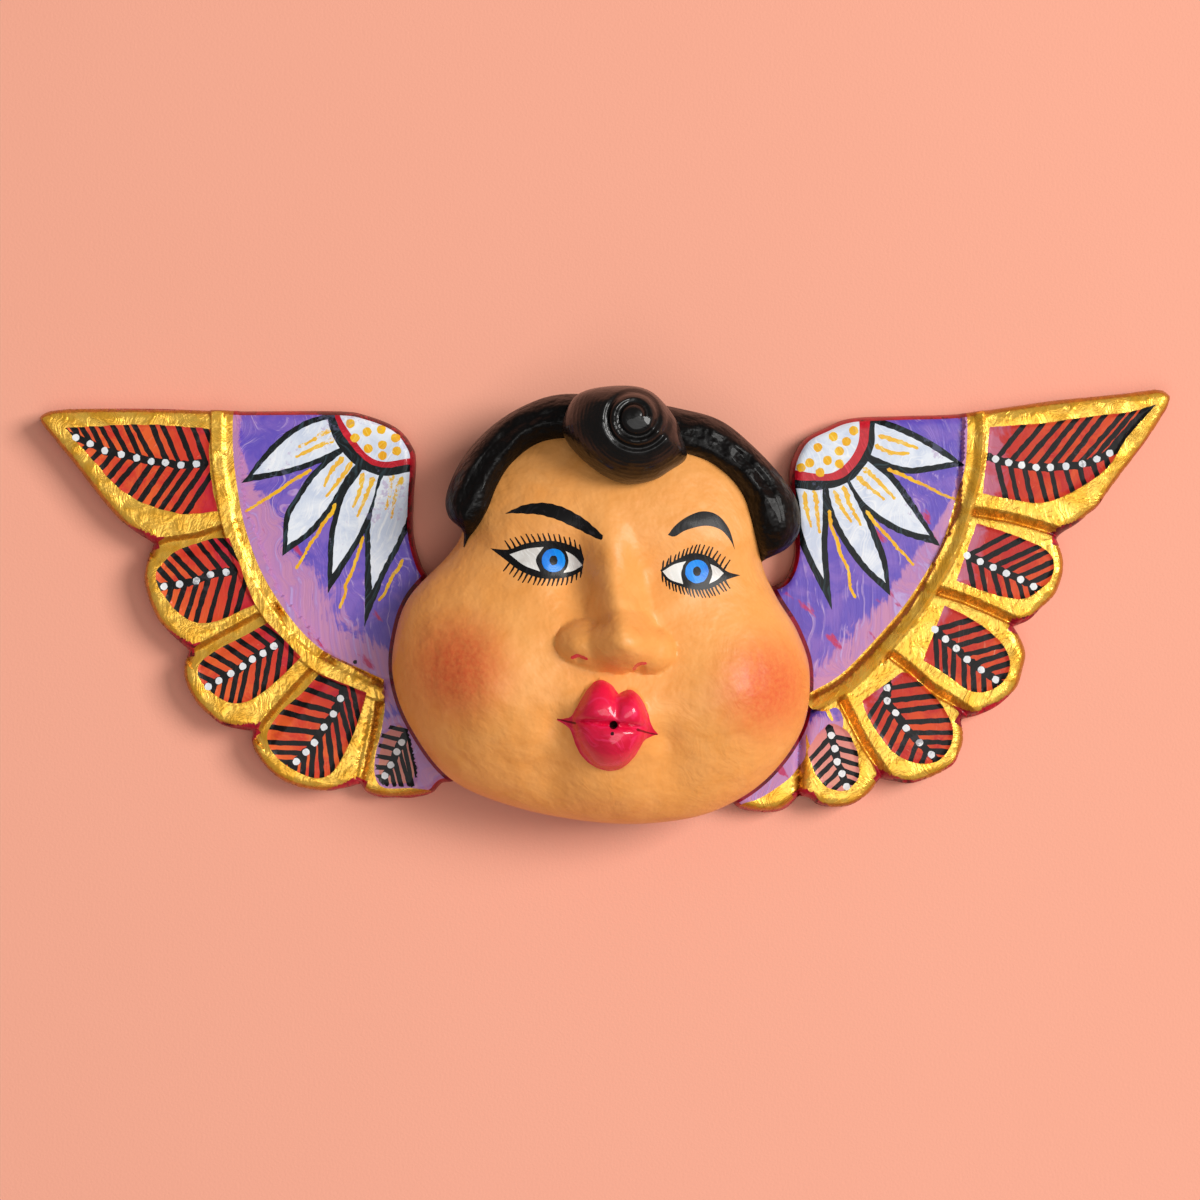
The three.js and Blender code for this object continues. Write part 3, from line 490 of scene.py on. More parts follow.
# %% Left wing
left_wing = {
    "name": "wing_left", "side": -1,
    "outline": [
        [(-64, 0), (-70, 7), (-74, 11), (-78, 18), (-81, 30), (-81, 45), (-80, 61), (-82, 68),
         (-88, 75), (-100, 80), (-113, 82), (-156, 82), (-190, 83), (-222, 83), (-233, 82),
         (-238, 79), (-236, 75), (-231, 69), (-222, 58), (-212, 45), (-203, 35), (-196, 30),
         (-190, 26)],
        [(-190, 26), (-193, 19), (-194, 12), (-192, 3), (-188, -6), (-183, -12), (-175, -19)],
        [(-175, -19), (-177, -24), (-177, -30), (-174, -38), (-168, -45), (-162, -50),
         (-155, -52), (-148, -53)],
        [(-148, -53), (-149, -57), (-147, -62), (-142, -69), (-135, -74), (-127, -77),
         (-118, -78), (-110, -77), (-103, -75)],
        [(-103, -75), (-100, -79), (-94, -81), (-89, -81), (-81, -81), (-73, -79), (-69, -75),
         (-60, -70), (-55, -40), (-64, 0)],
    ],
    "feathers": [
        [[(-154, 82), (-222, 83)], [(-222, 83), (-233, 82), (-238, 79), (-231, 69)],
         [(-231, 69), (-212, 45), (-203, 35), (-190, 26)], [(-190, 26), (-151, 35)],
         [(-151, 35), (-154, 82)]],
        [[(-149, 37), (-190, 27)],
         [(-190, 27), (-194, 12), (-192, 3), (-188, -6), (-175, -19)],
         [(-175, -19), (-136, 3)], [(-136, 3), (-149, 37)]],
        [[(-137, 6), (-175, -18)], [(-175, -18), (-177, -30), (-168, -45), (-148, -53)],
         [(-148, -53), (-117, -18)], [(-117, -18), (-137, 6)]],
        [[(-119, -19), (-148, -52)],
         [(-148, -52), (-147, -62), (-135, -74), (-118, -78), (-103, -75)],
         [(-103, -75), (-94, -32)], [(-94, -32), (-119, -19)]],
    ],
    "leaf": [[(-94, -32), (-104, -75)],
             [(-104, -75), (-100, -79), (-89, -81), (-73, -79), (-69, -75)],
             [(-69, -75), (-55, -77), (-62, -40), (-64, 0)], [(-64, 0), (-94, -32)]],
    "field": [[(-158, 82), (-113, 82)], [(-113, 82), (-100, 80), (-88, 75), (-82, 68), (-80, 61)],
              [(-80, 61), (-81, 45), (-81, 30), (-78, 18), (-72, 9)],
              [(-72, 9), (-68, -34), (-94, -34)],
              [(-94, -34), (-118, -22), (-140, 4), (-153, 35), (-158, 82)]],
    "spur": [(-97, -34), (-98, -48), (-103, -72)],
    "band_shape": [(0, 10.8), (0.7, 12), (3.6, 17), (4.6, 17.5), (8.8, 17.4), (9.6, 16.4)],
    "ledges": [[(-192, 26), (-184, 28.9), (-171.7, 30.8), (-162, 34), (-154.9, 36.6)],
               [(-177, -19.5), (-170, -15.5), (-153, -6.5), (-138, 2)],
               [(-149, -55), (-142, -45.5), (-130, -32), (-118, -19)]],
    "ledge_shape": [(-0.4, 0.2), (0, 0.1), (2.5, -2.5), (4, -2.2), (10, 0)],
    "band_in": [(-156, 84), (-156, 65), (-154, 48), (-151, 33), (-145, 16), (-137, 2),
                (-128, -10), (-118, -19), (-106, -25), (-93, -31)],
    "gold_end": [(-93, -31), (-92.5, -42), (-94, -53), (-96.5, -63), (-96.5, -72), (-92.5, -76.6),
                 (-80, -76.8), (-71, -79.5), (-70, -90)],
    "far_corner": [(-70, -90), (-255, -90), (-255, 100), (-156, 100), (-156, 84)],
    "panels": [
        [(-226.5, 74.5), (-219, 75), (-195.5, 76), (-175, 75), (-165.5, 74), (-166, 61.5),
         (-164.5, 49), (-162.5, 39.5), (-177, 38.5), (-191, 42), (-203, 48.5), (-214, 60)],
        [(-157.5, 28.5), (-167.5, 27.5), (-179.5, 23), (-186.5, 17), (-188.5, 12.5), (-186, 5.5),
         (-180, -2), (-170.5, -7.5), (-159, -5), (-147, 0.5)],
        [(-141.5, -7), (-151, -12.5), (-161, -17.5), (-169, -23), (-171, -27.5), (-168.5, -33),
         (-161.5, -39), (-154.5, -41), (-147.5, -39), (-137, -31), (-127.5, -21.5)],
        [(-120, -28.5), (-127, -36.5), (-135, -43.5), (-141, -51.5), (-141.5, -57.5),
         (-137, -64.5), (-128.5, -70), (-120.5, -72.5), (-114, -69.5), (-108, -59.5),
         (-103, -47), (-100, -36.5)],
        [(-93.5, -53), (-96, -62.5), (-96, -71.5), (-93, -76), (-80.5, -76), (-79, -70),
         (-81, -60), (-83, -51), (-87, -49)],
    ],
    "corners": [(0, 4, 7), (0, 9), (0, 10), (0, 11), (0, 3, 4, 7)],
    "dots": [
        [(-222, 70.5), (-216, 68), (-210, 65), (-203, 63.5), (-196.5, 62), (-190.5, 60.5),
         (-184.5, 60), (-178, 59), (-171.5, 59.5)],
        [(-185, 8), (-178.5, 9), (-171.5, 10.5), (-165.5, 13), (-159, 14)],
        [(-166.5, -34), (-162, -31.5), (-157, -28.5), (-152, -25.5), (-148, -22.5),
         (-143.5, -20), (-139, -17)],
        [(-129.5, -65.5), (-125.5, -61.5), (-122, -57.5), (-118, -51), (-114, -45.5),
         (-111, -39)],
        [(-92.5, -71.5), (-90, -67), (-87.5, -61.5), (-85.5, -57.5)],
    ],
    "barb_start": -10, "barb_gap": [5.5, 5.4, 5.6, 5.4, 4.3],
    "barb_ways": [((112, 122), (-122, -140)), ((130, 137), (-104, -114)),
                  ((143, 157), (-98, -106)), ((160, 178, 181), (-76, -104)),
                  ((165, 185), (-73, -73))],
    "lilac_width": [(-90, 13), (-12, 13), (12, 20), (38, 16), (52, 7), (66, 3)],
    "flower": {
        "disc": [(-111.5, 86), (-111.5, 80), (-106, 71), (-100, 63.5), (-93, 60.5), (-82, 62),
                 (-70, 64), (-70, 90)],
        "red": [(-113.5, 86), (-113.5, 80), (-111, 73.5), (-106, 66.5), (-100, 60.5),
                (-92.5, 58), (-81.5, 59.5), (-70, 61), (-70, 90)],
        "black": [(-117, 86), (-116.5, 78), (-113, 68.5), (-107, 61), (-100, 56.5),
                  (-92.5, 54.5), (-80.5, 56.5), (-70, 58), (-70, 90)],
        "petals": [
            [[(-114, 79), (-124, 76), (-132.5, 71), (-141, 63), (-148, 55)],
             [(-148, 55), (-136, 57), (-123, 61), (-111, 66.5)], [(-111, 66.5), (-114, 79)]],
            [[(-109, 65.5), (-120.5, 55.5), (-128, 45), (-132.5, 36.5), (-133.5, 25.5)],
             [(-133.5, 25.5), (-125.5, 31), (-116.5, 41.5), (-109, 54), (-104, 60.5)],
             [(-104, 60.5), (-109, 65.5)]],
            [[(-102, 57), (-108.5, 47.5), (-112, 37.5), (-114, 25.5), (-114.5, 13.5)],
             [(-114.5, 13.5), (-108.5, 22), (-102, 33.5), (-97.5, 45), (-94.5, 56.5)],
             [(-94.5, 56.5), (-102, 57)]],
            [[(-92.5, 56.5), (-96.5, 45), (-98.5, 33), (-98.5, 22), (-98, 6.5)],
             [(-98, 6.5), (-94, 14.5), (-87.5, 27), (-83, 37.5), (-81.5, 47.5), (-81, 57)],
             [(-81, 57), (-92.5, 56.5)]],
        ],
        "tips": [(-152.5, 51.5), (-135.5, 21), (-116.5, 5), (-101, -9)],
        "rays": [((-124, 57), (-151, 39.5)), ((-113, 43), (-129.5, 16)),
                 ((-101.5, 28), (-111.5, -0.5)), ((-85.5, 18.5), (-94, 2.5))],
        "dots": [(-107, 76.5), (-100, 73), (-94, 74), (-105, 70.5), (-88, 70.5), (-93.5, 67.5),
                 (-99.5, 66), (-87.5, 65), (-93.5, 63)],
    },
}

# %% Right wing
right_wing = {
    "name": "wing_right", "side": 1,
    "outline": [
        [(60, 0), (69, 7), (75, 10), (78, 14), (80, 21), (80, 28), (79, 40), (78, 52), (79, 61),
         (84, 70), (93, 75), (104, 79), (125, 80), (151, 81), (187, 86), (224, 90), (233, 91),
         (237, 89), (238, 87), (237, 83), (233, 77), (228, 69), (221, 60), (214, 51), (208, 42),
         (203, 38), (198, 34), (193, 31), (190, 28)],
        [(190, 28), (192, 23), (193, 17), (192, 11), (189, 4), (184, -1), (179, -6), (172, -9)],
        [(172, -9), (175, -14), (177, -20), (176, -26), (173, -35), (166, -42), (158, -46),
         (150, -48)],
        [(150, -48), (151, -54), (150, -60), (147, -67), (138, -72), (129, -75), (122, -74),
         (116, -73)],
        [(116, -73), (110, -80), (104, -84), (97, -85), (90, -84), (86, -81), (82, -80)],
        [(82, -80), (77, -85), (72, -87), (65, -87), (56, -85), (52, -78), (50, -60), (52, -30),
         (60, 0)],
    ],
    "feathers": [
        [[(151, 81), (187, 86), (224, 90)], [(224, 90), (233, 91), (238, 88), (233, 77)],
         [(233, 77), (214, 51), (203, 38), (190, 28)], [(190, 28), (149, 41)],
         [(149, 41), (151, 81)]],
        [[(150, 42), (190, 29)], [(190, 29), (193, 17), (189, 4), (172, -9)],
         [(172, -9), (134, 9)], [(134, 9), (150, 42)]],
        [[(136, 11), (172, -8)], [(172, -8), (177, -20), (173, -35), (150, -48)],
         [(150, -48), (118, -15)], [(118, -15), (136, 11)]],
        [[(121, -14), (150, -47)], [(150, -47), (150, -60), (138, -72), (116, -73)],
         [(116, -73), (95, -38)], [(95, -38), (121, -14)]],
        [[(97, -40), (116, -72)], [(116, -72), (110, -80), (97, -85), (82, -80)],
         [(82, -80), (83, -52), (90, -42)], [(90, -42), (97, -40)]],
    ],
    "leaf": [[(84, -48), (82, -80)], [(82, -80), (74, -86), (65, -87), (56, -85)],
             [(56, -85), (50, -78), (60, -50), (70, -10)], [(70, -10), (94, -20)],
             [(94, -20), (84, -48)]],
    "field": [[(154, 81), (125, 80), (104, 79)], [(104, 79), (93, 75), (84, 70), (79, 61)],
              [(79, 61), (78, 52), (79, 40), (80, 28), (75, 10), (66, 6)],
              [(66, 6), (74, -50), (88, -44)],
              [(88, -44), (112, -22), (134, 6), (148, 36), (154, 81)]],
    "spur": None,
    "band_shape": [(0, 11), (0.9, 13.6), (3, 16.3), (5, 17.6), (6.3, 18.2), (6.9, 17.8),
                   (9.4, 14.6)],
    "ledges": [[(150, 39), (154.5, 37.8), (162.3, 36.6), (171.3, 34.8), (183.9, 31.2), (193, 28)],
               [(136, 6), (143.2, 3.5), (150.3, 1.2), (158, -2), (171.1, -8), (176, -10.5)],
               [(119, -21.5), (127.2, -28), (136.9, -36.4), (146.5, -42.2), (153, -47)],
               [(97, -38), (98.7, -41.6), (103.3, -50.6), (107.8, -59), (113, -66.8),
                (117.5, -74)]],
    "ledge_shape": [(-4.2, 0), (-0.6, -2.9), (-0.1, -2.6), (0.7, 0.5), (1.5, 0.3), (4, 0)],
    "band_in": [(152, 83), (152, 71), (151, 58), (147, 43), (142, 27), (135, 14), (125, -1),
                (112, -16), (99, -29), (86.5, -36.5)],
    "gold_end": [(86.5, -36.5), (84.6, -39.5), (87, -43.5), (92, -44.3), (97.5, -43),
                 (100, -50), (95, -60), (87, -60), (84.5, -54), (84.2, -63), (80.5, -69),
                 (77, -73), (70, -78), (64, -81.5), (57, -84), (52, -92)],
    "far_corner": [(52, -92), (255, -92), (255, 105), (152, 105), (152, 83)],
    "panels": [
        [(161.5, 75), (183.5, 76.5), (201, 79), (221, 81.5), (231.5, 84.5), (219.5, 71),
         (211, 58), (201, 50.5), (190.5, 45), (181, 43), (171, 44.5), (158.5, 47)],
        [(156, 34.5), (167.5, 31), (178, 27), (185.5, 23), (188.5, 17.5), (187, 11), (183.5, 7.5),
         (176.5, 3), (168, 3.5), (157.5, 6.5), (147.5, 10.5)],
        [(142.5, 0), (151, -4), (161, -10.5), (168, -18), (170, -25.5), (167, -32), (160.5, -36),
         (152.5, -35.5), (142.5, -28.5), (133.5, -23)],
        [(124.5, -28), (128.5, -29), (136, -35.5), (142.5, -43.5), (146, -52), (144.5, -60),
         (139, -65.5), (130, -66), (121, -61.5), (114.5, -53.5), (109.5, -45), (108, -40)],
        [(93.5, -50), (101, -52), (104.5, -58), (106.5, -65), (106, -73), (99.5, -78),
         (92.5, -75.5), (88, -70), (85.5, -63), (86.5, -58)],
    ],
    "corners": [(0, 4, 11), (0, 10), (0, 9), (0, 11), (0,)],
    "dots": [
        [(164, 61.5), (169.5, 60), (175, 59), (181, 58), (187, 58), (193.5, 58.5), (200.5, 59.5),
         (206.5, 61.5), (212, 64)],
        [(152, 21), (157.5, 18.5), (163, 16), (168.5, 13.5), (174.5, 11), (180, 8)],
        [(138.5, -10), (143, -14), (147.5, -18), (152, -22.5), (158, -27), (164, -31)],
        [(118.5, -34.5), (118.5, -40), (122, -45), (126.5, -51.5), (132, -57.5), (137, -62.5)],
        [(95, -54.5), (96.5, -60), (97.5, -65.5), (99.5, -70.5), (101.5, -76)],
    ],
    "barb_start": 0, "barb_gap": [5.9, 5.7, 5.3, 5.3, 4.8],
    "barb_ways": [((50, 50), (-77, -75)), ((28, 25), (-80, -68)), ((15, 20, 8), (-90, -90)),
                  ((9, 0, -7), (-120, -107)), ((-12, -22), (-130, -140))],
    "lilac_width": [(-40, 3), (-24, 8), (-8, 11), (10, 10), (26, 7), (45, 2)],
    "flower": {
        "disc": [(107, 86), (107, 77.5), (106.5, 68.5), (102.5, 61), (96, 56), (88.5, 55.5),
                 (80, 57), (70, 59), (70, 90)],
        "red": [(111.5, 86), (111.5, 77.5), (110, 67), (104.5, 57.5), (97.5, 53), (88.5, 52.5),
                (79.5, 53), (70, 54), (70, 90)],
        "black": [(114, 86), (113.5, 77), (113, 67), (110, 60), (104, 53), (97.5, 50),
                  (88.5, 48.5), (79.5, 49.5), (70, 50.5), (70, 90)],
        "petals": [
            [[(112, 77), (122.5, 73.5), (134, 68), (142, 63), (146.5, 60.5)],
             [(146.5, 60.5), (137, 59), (128, 58), (119.5, 60), (111.5, 63.5)],
             [(111.5, 63.5), (112, 77)]],
            [[(110, 61), (119.5, 53), (128, 41.5), (136.5, 29.5)],
             [(136.5, 29.5), (128, 31.5), (119.5, 35.5), (109, 43.5), (102, 54)],
             [(102, 54), (110, 61)]],
            [[(101.5, 52), (107, 41.5), (112, 29.5), (116, 18.5), (118, 9.5)],
             [(118, 9.5), (110.5, 16.5), (103, 26.5), (97, 37.5), (93.5, 50.5)],
             [(93.5, 50.5), (101.5, 52)]],
            [[(91.5, 50), (91.5, 36.5), (91, 24.5), (92, 11)],
             [(92, 11), (87, 20.5), (83, 31.5), (82, 42), (80, 50.5)],
             [(80, 50.5), (91.5, 50)]],
        ],
        "tips": [(151, 59), (141, 25), (120, 4), (95.5, -2)],
        "rays": [((120, 57), (146.5, 44.5)), ((110, 39.5), (129, 17.5)),
                 ((93.5, 39.5), (105.5, 3))],
        "dots": [(104.5, 73.5), (96, 71), (101.5, 69), (89.5, 66.5), (98.5, 65), (86, 60),
                 (93.5, 61), (98.5, 59.5), (82.5, 58), (90.5, 56)],
    },
}

# %% [markdown]
# ## Wings: the relief
# The board is built up as the CAD solid is: a base, a pillow for the purple field, and flat
# feathers that step down from one to the next along a carved ledge. A curved band closes them off
# from the field. Heights that depend on the distance to a line, read from a short list of points,
# describe ledge and band, and the highest form wins at each point, as it does on the board. The
# painted panels are scraped a little lower than the gilded frames round them.

# %% The driving sizes of the wings
BASE_TOP = 9.5
FIELD_TOP, FIELD_BEVEL = 14, 4
FEATHER_TOP, FEATHER_BEVEL, FEATHER_DROP = 16.5, 4.5, 2.8
SPUR_WIDTH, SPUR_FOOT = 5, 8
PANEL_DEPTH, PANEL_SLOPE = 0.6, 1.2
RIM_ROUND = 2.2
KNOB = np.array([90.3, -39.0])
KNOB_RADIUS, KNOB_TOP = 3.4, 17


# %% The height of a wing at any point
def field_height(points, runs):
    """A flat top that rounds off at the outline, like a pillow."""
    depth = depth_inside(points, outline_of(runs))
    share = np.clip(depth / FIELD_BEVEL, 0, 1)
    return np.where(depth > 0, FIELD_TOP - FIELD_BEVEL * (1 - share) ** 2, 0)


def spur_height(points, line):
    """The short rib between the last feather of the left wing and its leaf."""
    distance, _ = distance_to(points, smooth_line(line))
    across = np.clip(distance / (SPUR_WIDTH / 2), 0, 1)
    return SPUR_FOOT + (FEATHER_TOP - SPUR_FOOT) * (1 - across**3.2) ** 0.6


def gold_area(wing):
    """Everything outside the inner edge of the gilded band."""
    band = smooth_line(wing["band_in"], 1.2)
    return np.vstack([band, smooth_line(wing["gold_end"], 1.2)[1:], wing["far_corner"][1:-1]])


def shape_at(distance, shape):
    """A carved section, read as height at each distance and nothing outside it."""
    at, height = np.array(shape, float).T
    return np.interp(distance, at, height, left=0, right=0)


def crease_lines(wing):
    """The lines along which the relief turns sharply, so that the sheet is cut there too."""
    lines = []
    band = smooth_line(wing["band_in"], 1.2)
    for distance, _ in wing["band_shape"][1:]:
        lines.append(band + normals_of(band) * wing["side"] * distance)
    for line in wing["ledges"]:
        line = smooth_line(line, 1.2)
        for distance, _ in wing["ledge_shape"]:
            lines.append(line - normals_of(line) * distance)
    return lines


def panel_outline(wing, k):
    """The panel's points as a smooth loop with corners where the frame has them."""
    points = wing["panels"][k]
    corners = list(wing["corners"][k])
    if len(corners) == 1:
        return smooth_line(points, 1.2, closed=True)
    runs = []
    for a, b in zip(corners, corners[1:] + [corners[0] + len(points)]):
        runs.append([points[i % len(points)] for i in range(a, b + 1)])
    return outline_of(runs, 1.2)


def feather_level(wing, points, to_rim):
    """Flat frames that round off at the board's edge and step down from feather to feather."""
    outer, _ = distance_to(points, smooth_line(wing["feathers"][-1][2]))
    share = np.clip(np.minimum(to_rim, outer) / FEATHER_BEVEL, 0, 1)
    level = FEATHER_TOP - FEATHER_DROP * (1 - share) ** 2
    for line in wing["ledges"]:
        level = level + shape_at(side_distance(points, smooth_line(line)), wing["ledge_shape"])
    on_feather = np.zeros(len(points), bool)
    for runs in wing["feathers"]:
        on_feather |= inside(points, outline_of(runs))
    return np.where(on_feather, level, 0)


def wing_height(wing, points, outline):
    to_rim, _ = distance_to(points, closed(outline))
    height = np.full(len(points), float(BASE_TOP))
    for runs in (wing["field"], wing["leaf"]):
        height = np.maximum(height, field_height(points, runs))
    height = np.maximum(height, feather_level(wing, points, to_rim))
    to_band, _ = distance_to(points, smooth_line(wing["band_in"]))
    to_band = np.where(inside(points, gold_area(wing)), to_band, -1)
    height = np.maximum(height, shape_at(to_band, wing["band_shape"]))
    if wing["spur"]:
        height = np.maximum(height, spur_height(points, wing["spur"]))
    else:
        knob = np.clip(np.linalg.norm(points - KNOB, axis=1) / KNOB_RADIUS, 0, 1)
        height = np.maximum(height, KNOB_TOP * np.sqrt(1 - 0.5 * knob**2) * (knob < 1))
    for k in range(len(wing["panels"])):
        depth = depth_inside(points, panel_outline(wing, k))
        height = height - PANEL_DEPTH * smooth_step(0, PANEL_SLOPE, depth)
    edge = 1 - np.clip(to_rim / RIM_ROUND, 0, 1)
    return height - RIM_ROUND * (1 - np.sqrt(1 - edge**2))


# %% [markdown]
# ## Wings: the painting
# The coats go on in the painter's order: red ground, the purple field with its half flower, gold,
# and then the orange panels with their black drawing and white dots. The barbs of a feather are
# strokes that start on its midrib and lean to its tip, masked by the panel's edge. Near each
# notch the gilder's brush didn't reach, so red strokes over the gold stand for bare ground.


# %% The coats of one wing
left_wing["specks"] = [paint("black_paint", dot((-105, -23.7), 0.9, 9))]
right_wing["specks"] = [paint("gold_leaf", stroke([(91, -40), (93.6, -44.5), (95.4, -48)], 2.4, 1.2))]
BARB_REACH = 48
BARB_WIDTHS = (2.1, 2.5)
SPINE_BEFORE, SPINE_AFTER = 14, 9  # how far the barbs' roots may lie past the first and last dot
MIDRIB_AFTER, MIDRIB_WIDTH = 3.5, 3.5
NOTCH_POINTS, EDGE_POINTS = 9, 14  # points 1 mm apart
FIELD_MARGIN = 1.9
CHEEK_STRIP = 2.6
SALMON_PANEL = 4  # the number of the last panel, which is paler than the others
PETAL_LINE = {-1: 2.3, 1: 2.6}
PETAL_STROKES = ((-2.4, 17), (2.0, 20))  # offset from the middle, and length
DOT_RADIUS, FLOWER_DOT_RADIUS = 1.55, 1.95


def barbs_of(wing, k, panel):
    """Black strokes on both sides of the row of dots of one feather, from its base to its tip."""
    row = np.array(wing["dots"][k], float)
    if wing["side"] < 0:
        row = row[::-1]
    base_step = (row[1] - row[0]) / np.linalg.norm(row[1] - row[0])
    tip_step = (row[-1] - row[-2]) / np.linalg.norm(row[-1] - row[-2])
    spine = np.vstack([row[0] - base_step * SPINE_BEFORE, row, row[-1] + tip_step * SPINE_AFTER])
    spine = smooth_line(spine, 1.0)
    distance = np.concatenate([[0], np.cumsum(np.linalg.norm(np.diff(spine, axis=0), axis=1))])
    distance -= SPINE_BEFORE
    strokes = []
    gap = wing["barb_gap"][k]
    for way in wing["barb_ways"][k]:
        at = 0.3 + wing["barb_start"]
        while at < distance[-1]:
            point = np.array([np.interp(at, distance, spine[:, i]) for i in (0, 1)])
            share = max(0, at / distance[-1])
            turn = np.interp(share, np.linspace(0, 1, len(way)), way) + random.normal(0, 1.5)
            turn = math.radians(turn)
            direction = np.array([math.cos(turn), math.sin(turn)])
            bend = np.array([-direction[1], direction[0]]) * random.normal(0, 0.3)
            line = [point, point + direction * BARB_REACH / 2 + bend, point + direction * BARB_REACH]
            width = random.uniform(*BARB_WIDTHS) * min(1, gap / 5.2)
            strokes.append(paint("black_paint", stroke(line, width, width * 0.9, 2.0, 0.1), panel))
            at += gap * random.uniform(0.95, 1.05)
    midrib = np.vstack([row[0] - base_step * MIDRIB_AFTER, row, row[-1] + tip_step * MIDRIB_AFTER])
    strokes.append(paint("black_paint", stroke(midrib, MIDRIB_WIDTH, 3.0), panel))
    return strokes


def flower_coats(flower, side, field):
    """The half flower: black edges, white petals with dry yellow strokes, rings and dots."""
    coats = []
    grow = PETAL_LINE[side] * side
    for petal, tip in zip(flower["petals"], flower["tips"]):
        upper, lower = np.array(petal[0], float), np.array(petal[1], float)
        upper = upper[:-1] + normals_of(upper)[:-1] * grow
        lower = lower[1:] + normals_of(lower)[1:] * grow
        black = outline_of([np.vstack([upper, tip]), np.vstack([tip, lower]),
                            np.vstack([lower[-1], upper[0]])], 1.2)
        coats.append(paint("black_brushed", waver(black, 0.12), field))
    for petal in flower["petals"]:
        coats.append(paint("petal_white", waver(outline_of(petal, 1.2), 0.15), field))
        root = (np.array(petal[0][0]) + np.array(petal[1][-1])) / 2
        tip = np.array(petal[0][-1])
        along = (tip - root) / np.linalg.norm(tip - root)
        across = np.array([-along[1], along[0]])
        for offset, length in PETAL_STROKES:
            start = root + across * offset + along * random.uniform(2, 3.5)
            end = root + across * offset * 0.7 + along * length
            middle = (start + end) / 2 + across * random.normal(0, 0.4)
            coats.append(paint("yellow_dry", stroke([start, middle, end], 2.2, 1.1, 1.0, 0.25)))
    for slot, ring, shake in (("black_brushed", "black", 0.12), ("red_paint", "red", 0.08),
                              ("petal_white", "disc", 0.02)):
        loop = waver(smooth_line(flower[ring], 1.2, closed=True), shake)
        coats.append(paint(slot, loop, field))
    for spot in flower["dots"]:
        coats.append(paint("yellow_paint", dot(spot, FLOWER_DOT_RADIUS, 14, 0.04)))
    for start, end in flower["rays"]:
        start, end = np.array(start, float), np.array(end, float)
        share = np.linspace(0, 1, 7)[:, None]
        line = start + (end - start) * share + random.normal(0, 0.35, (7, 2))
        coats.append(paint("yellow_paint", stroke(line, 1.6, 1.2, 0.9, 0.2)))
    return coats


def wing_coats(wing, outline):
    """All coats of a wing, in the painter's order."""
    field = moved_in(outline, FIELD_MARGIN)
    coats = [paint("red_ground", outline), paint("purple_paint", field)]
    coats += flower_coats(wing["flower"], wing["side"], field)
    coats.append(paint("cheek_crimson", moved_in(face_line, -CHEEK_STRIP)))
    coats.append(paint("gold_leaf", gold_area(wing)))
    for line in wing["ledges"]:
        notch = smooth_line(line, 1.0)
        notch = notch if wing["side"] < 0 else notch[::-1]
        coats.append(paint("red_ground", stroke(notch[:NOTCH_POINTS], 4.6, 0.7, 1.0)))
    for run in wing["outline"][:-1]:
        edge = smooth_line(run, 1.0)[::-1]
        coats.append(paint("red_ground", stroke(edge[:EDGE_POINTS], 7.0, 2.2, 1.0), outline))
    coats += wing["specks"]
    for k in range(len(wing["panels"])):
        panel = waver(panel_outline(wing, k), 0.12)
        if k < SALMON_PANEL:
            coats.append(paint(f"feather_{wing['name']}", panel))
        else:
            salmon = moved_in(panel, 1.2) if wing["side"] < 0 else panel
            coats.append(paint("feather_salmon", salmon))
        coats += barbs_of(wing, k, panel)
        for spot in wing["dots"][k]:
            coats.append(paint("white_paint", dot(spot, DOT_RADIUS, 12, 0.06)))
    return coats


# %% [markdown]
# ## Finishes
# All finishes are procedural, in object coordinates, so they stay on the wood and survive baking.
# Three effects come back in several of them and are node groups: the drag of a brush, small chips
# and worn spots, and the grain of bare wood. Each group puts out only values that vary over the
# surface. The Principled shader, with its plain numbers, stays in the material.


# %% Node helpers
def add_node(tree, kind, inputs=None, **settings):
    """A node with its settings. Each input is a link from a socket or a plain value."""
    node = tree.nodes.new(kind)
    for name, value in settings.items():
        setattr(node, name, value)
    for name, value in (inputs or {}).items():
        if isinstance(value, bpy.types.NodeSocket):
            tree.links.new(value, node.inputs[name])
        else:
            node.inputs[name].default_value = value
    return node


def object_place(tree):
    return add_node(tree, "ShaderNodeTexCoord").outputs["Object"]


def noise(tree, vector, scale, detail=2.0, roughness=0.5, distortion=0.0):
    inputs = {"Vector": vector, "Scale": scale, "Detail": detail, "Roughness": roughness,
              "Distortion": distortion}
    return add_node(tree, "ShaderNodeTexNoise", inputs).outputs["Fac"]


def calculate(tree, operation, *values, clamp=False):
    return add_node(tree, "ShaderNodeMath", dict(enumerate(values)), operation=operation,
                    use_clamp=clamp).outputs[0]


def stretched(tree, vector, factors):
    """A place whose axes are scaled, so that a texture on it is drawn out."""
    return add_node(tree, "ShaderNodeVectorMath", {0: vector, 1: factors},
                    operation="MULTIPLY").outputs[0]


def turned(tree, vector, angle):
    return add_node(tree, "ShaderNodeVectorRotate", {"Vector": vector, "Angle": angle},
                    rotation_type="Z_AXIS").outputs[0]


def new_group(name, inputs, outputs):
    """A node group with its inputs' sockets and its outputs' sockets, all plain numbers."""
    group = bpy.data.node_groups.new(name, "ShaderNodeTree")
    for label, value in inputs.items():
        socket = group.interface.new_socket(label, in_out="INPUT", socket_type="NodeSocketFloat")
        socket.default_value = value
    for label in outputs:
        group.interface.new_socket(label, in_out="OUTPUT", socket_type="NodeSocketFloat")
    start = group.nodes.new("NodeGroupInput")
    end = group.nodes.new("NodeGroupOutput")
    return group, start.outputs, end.inputs


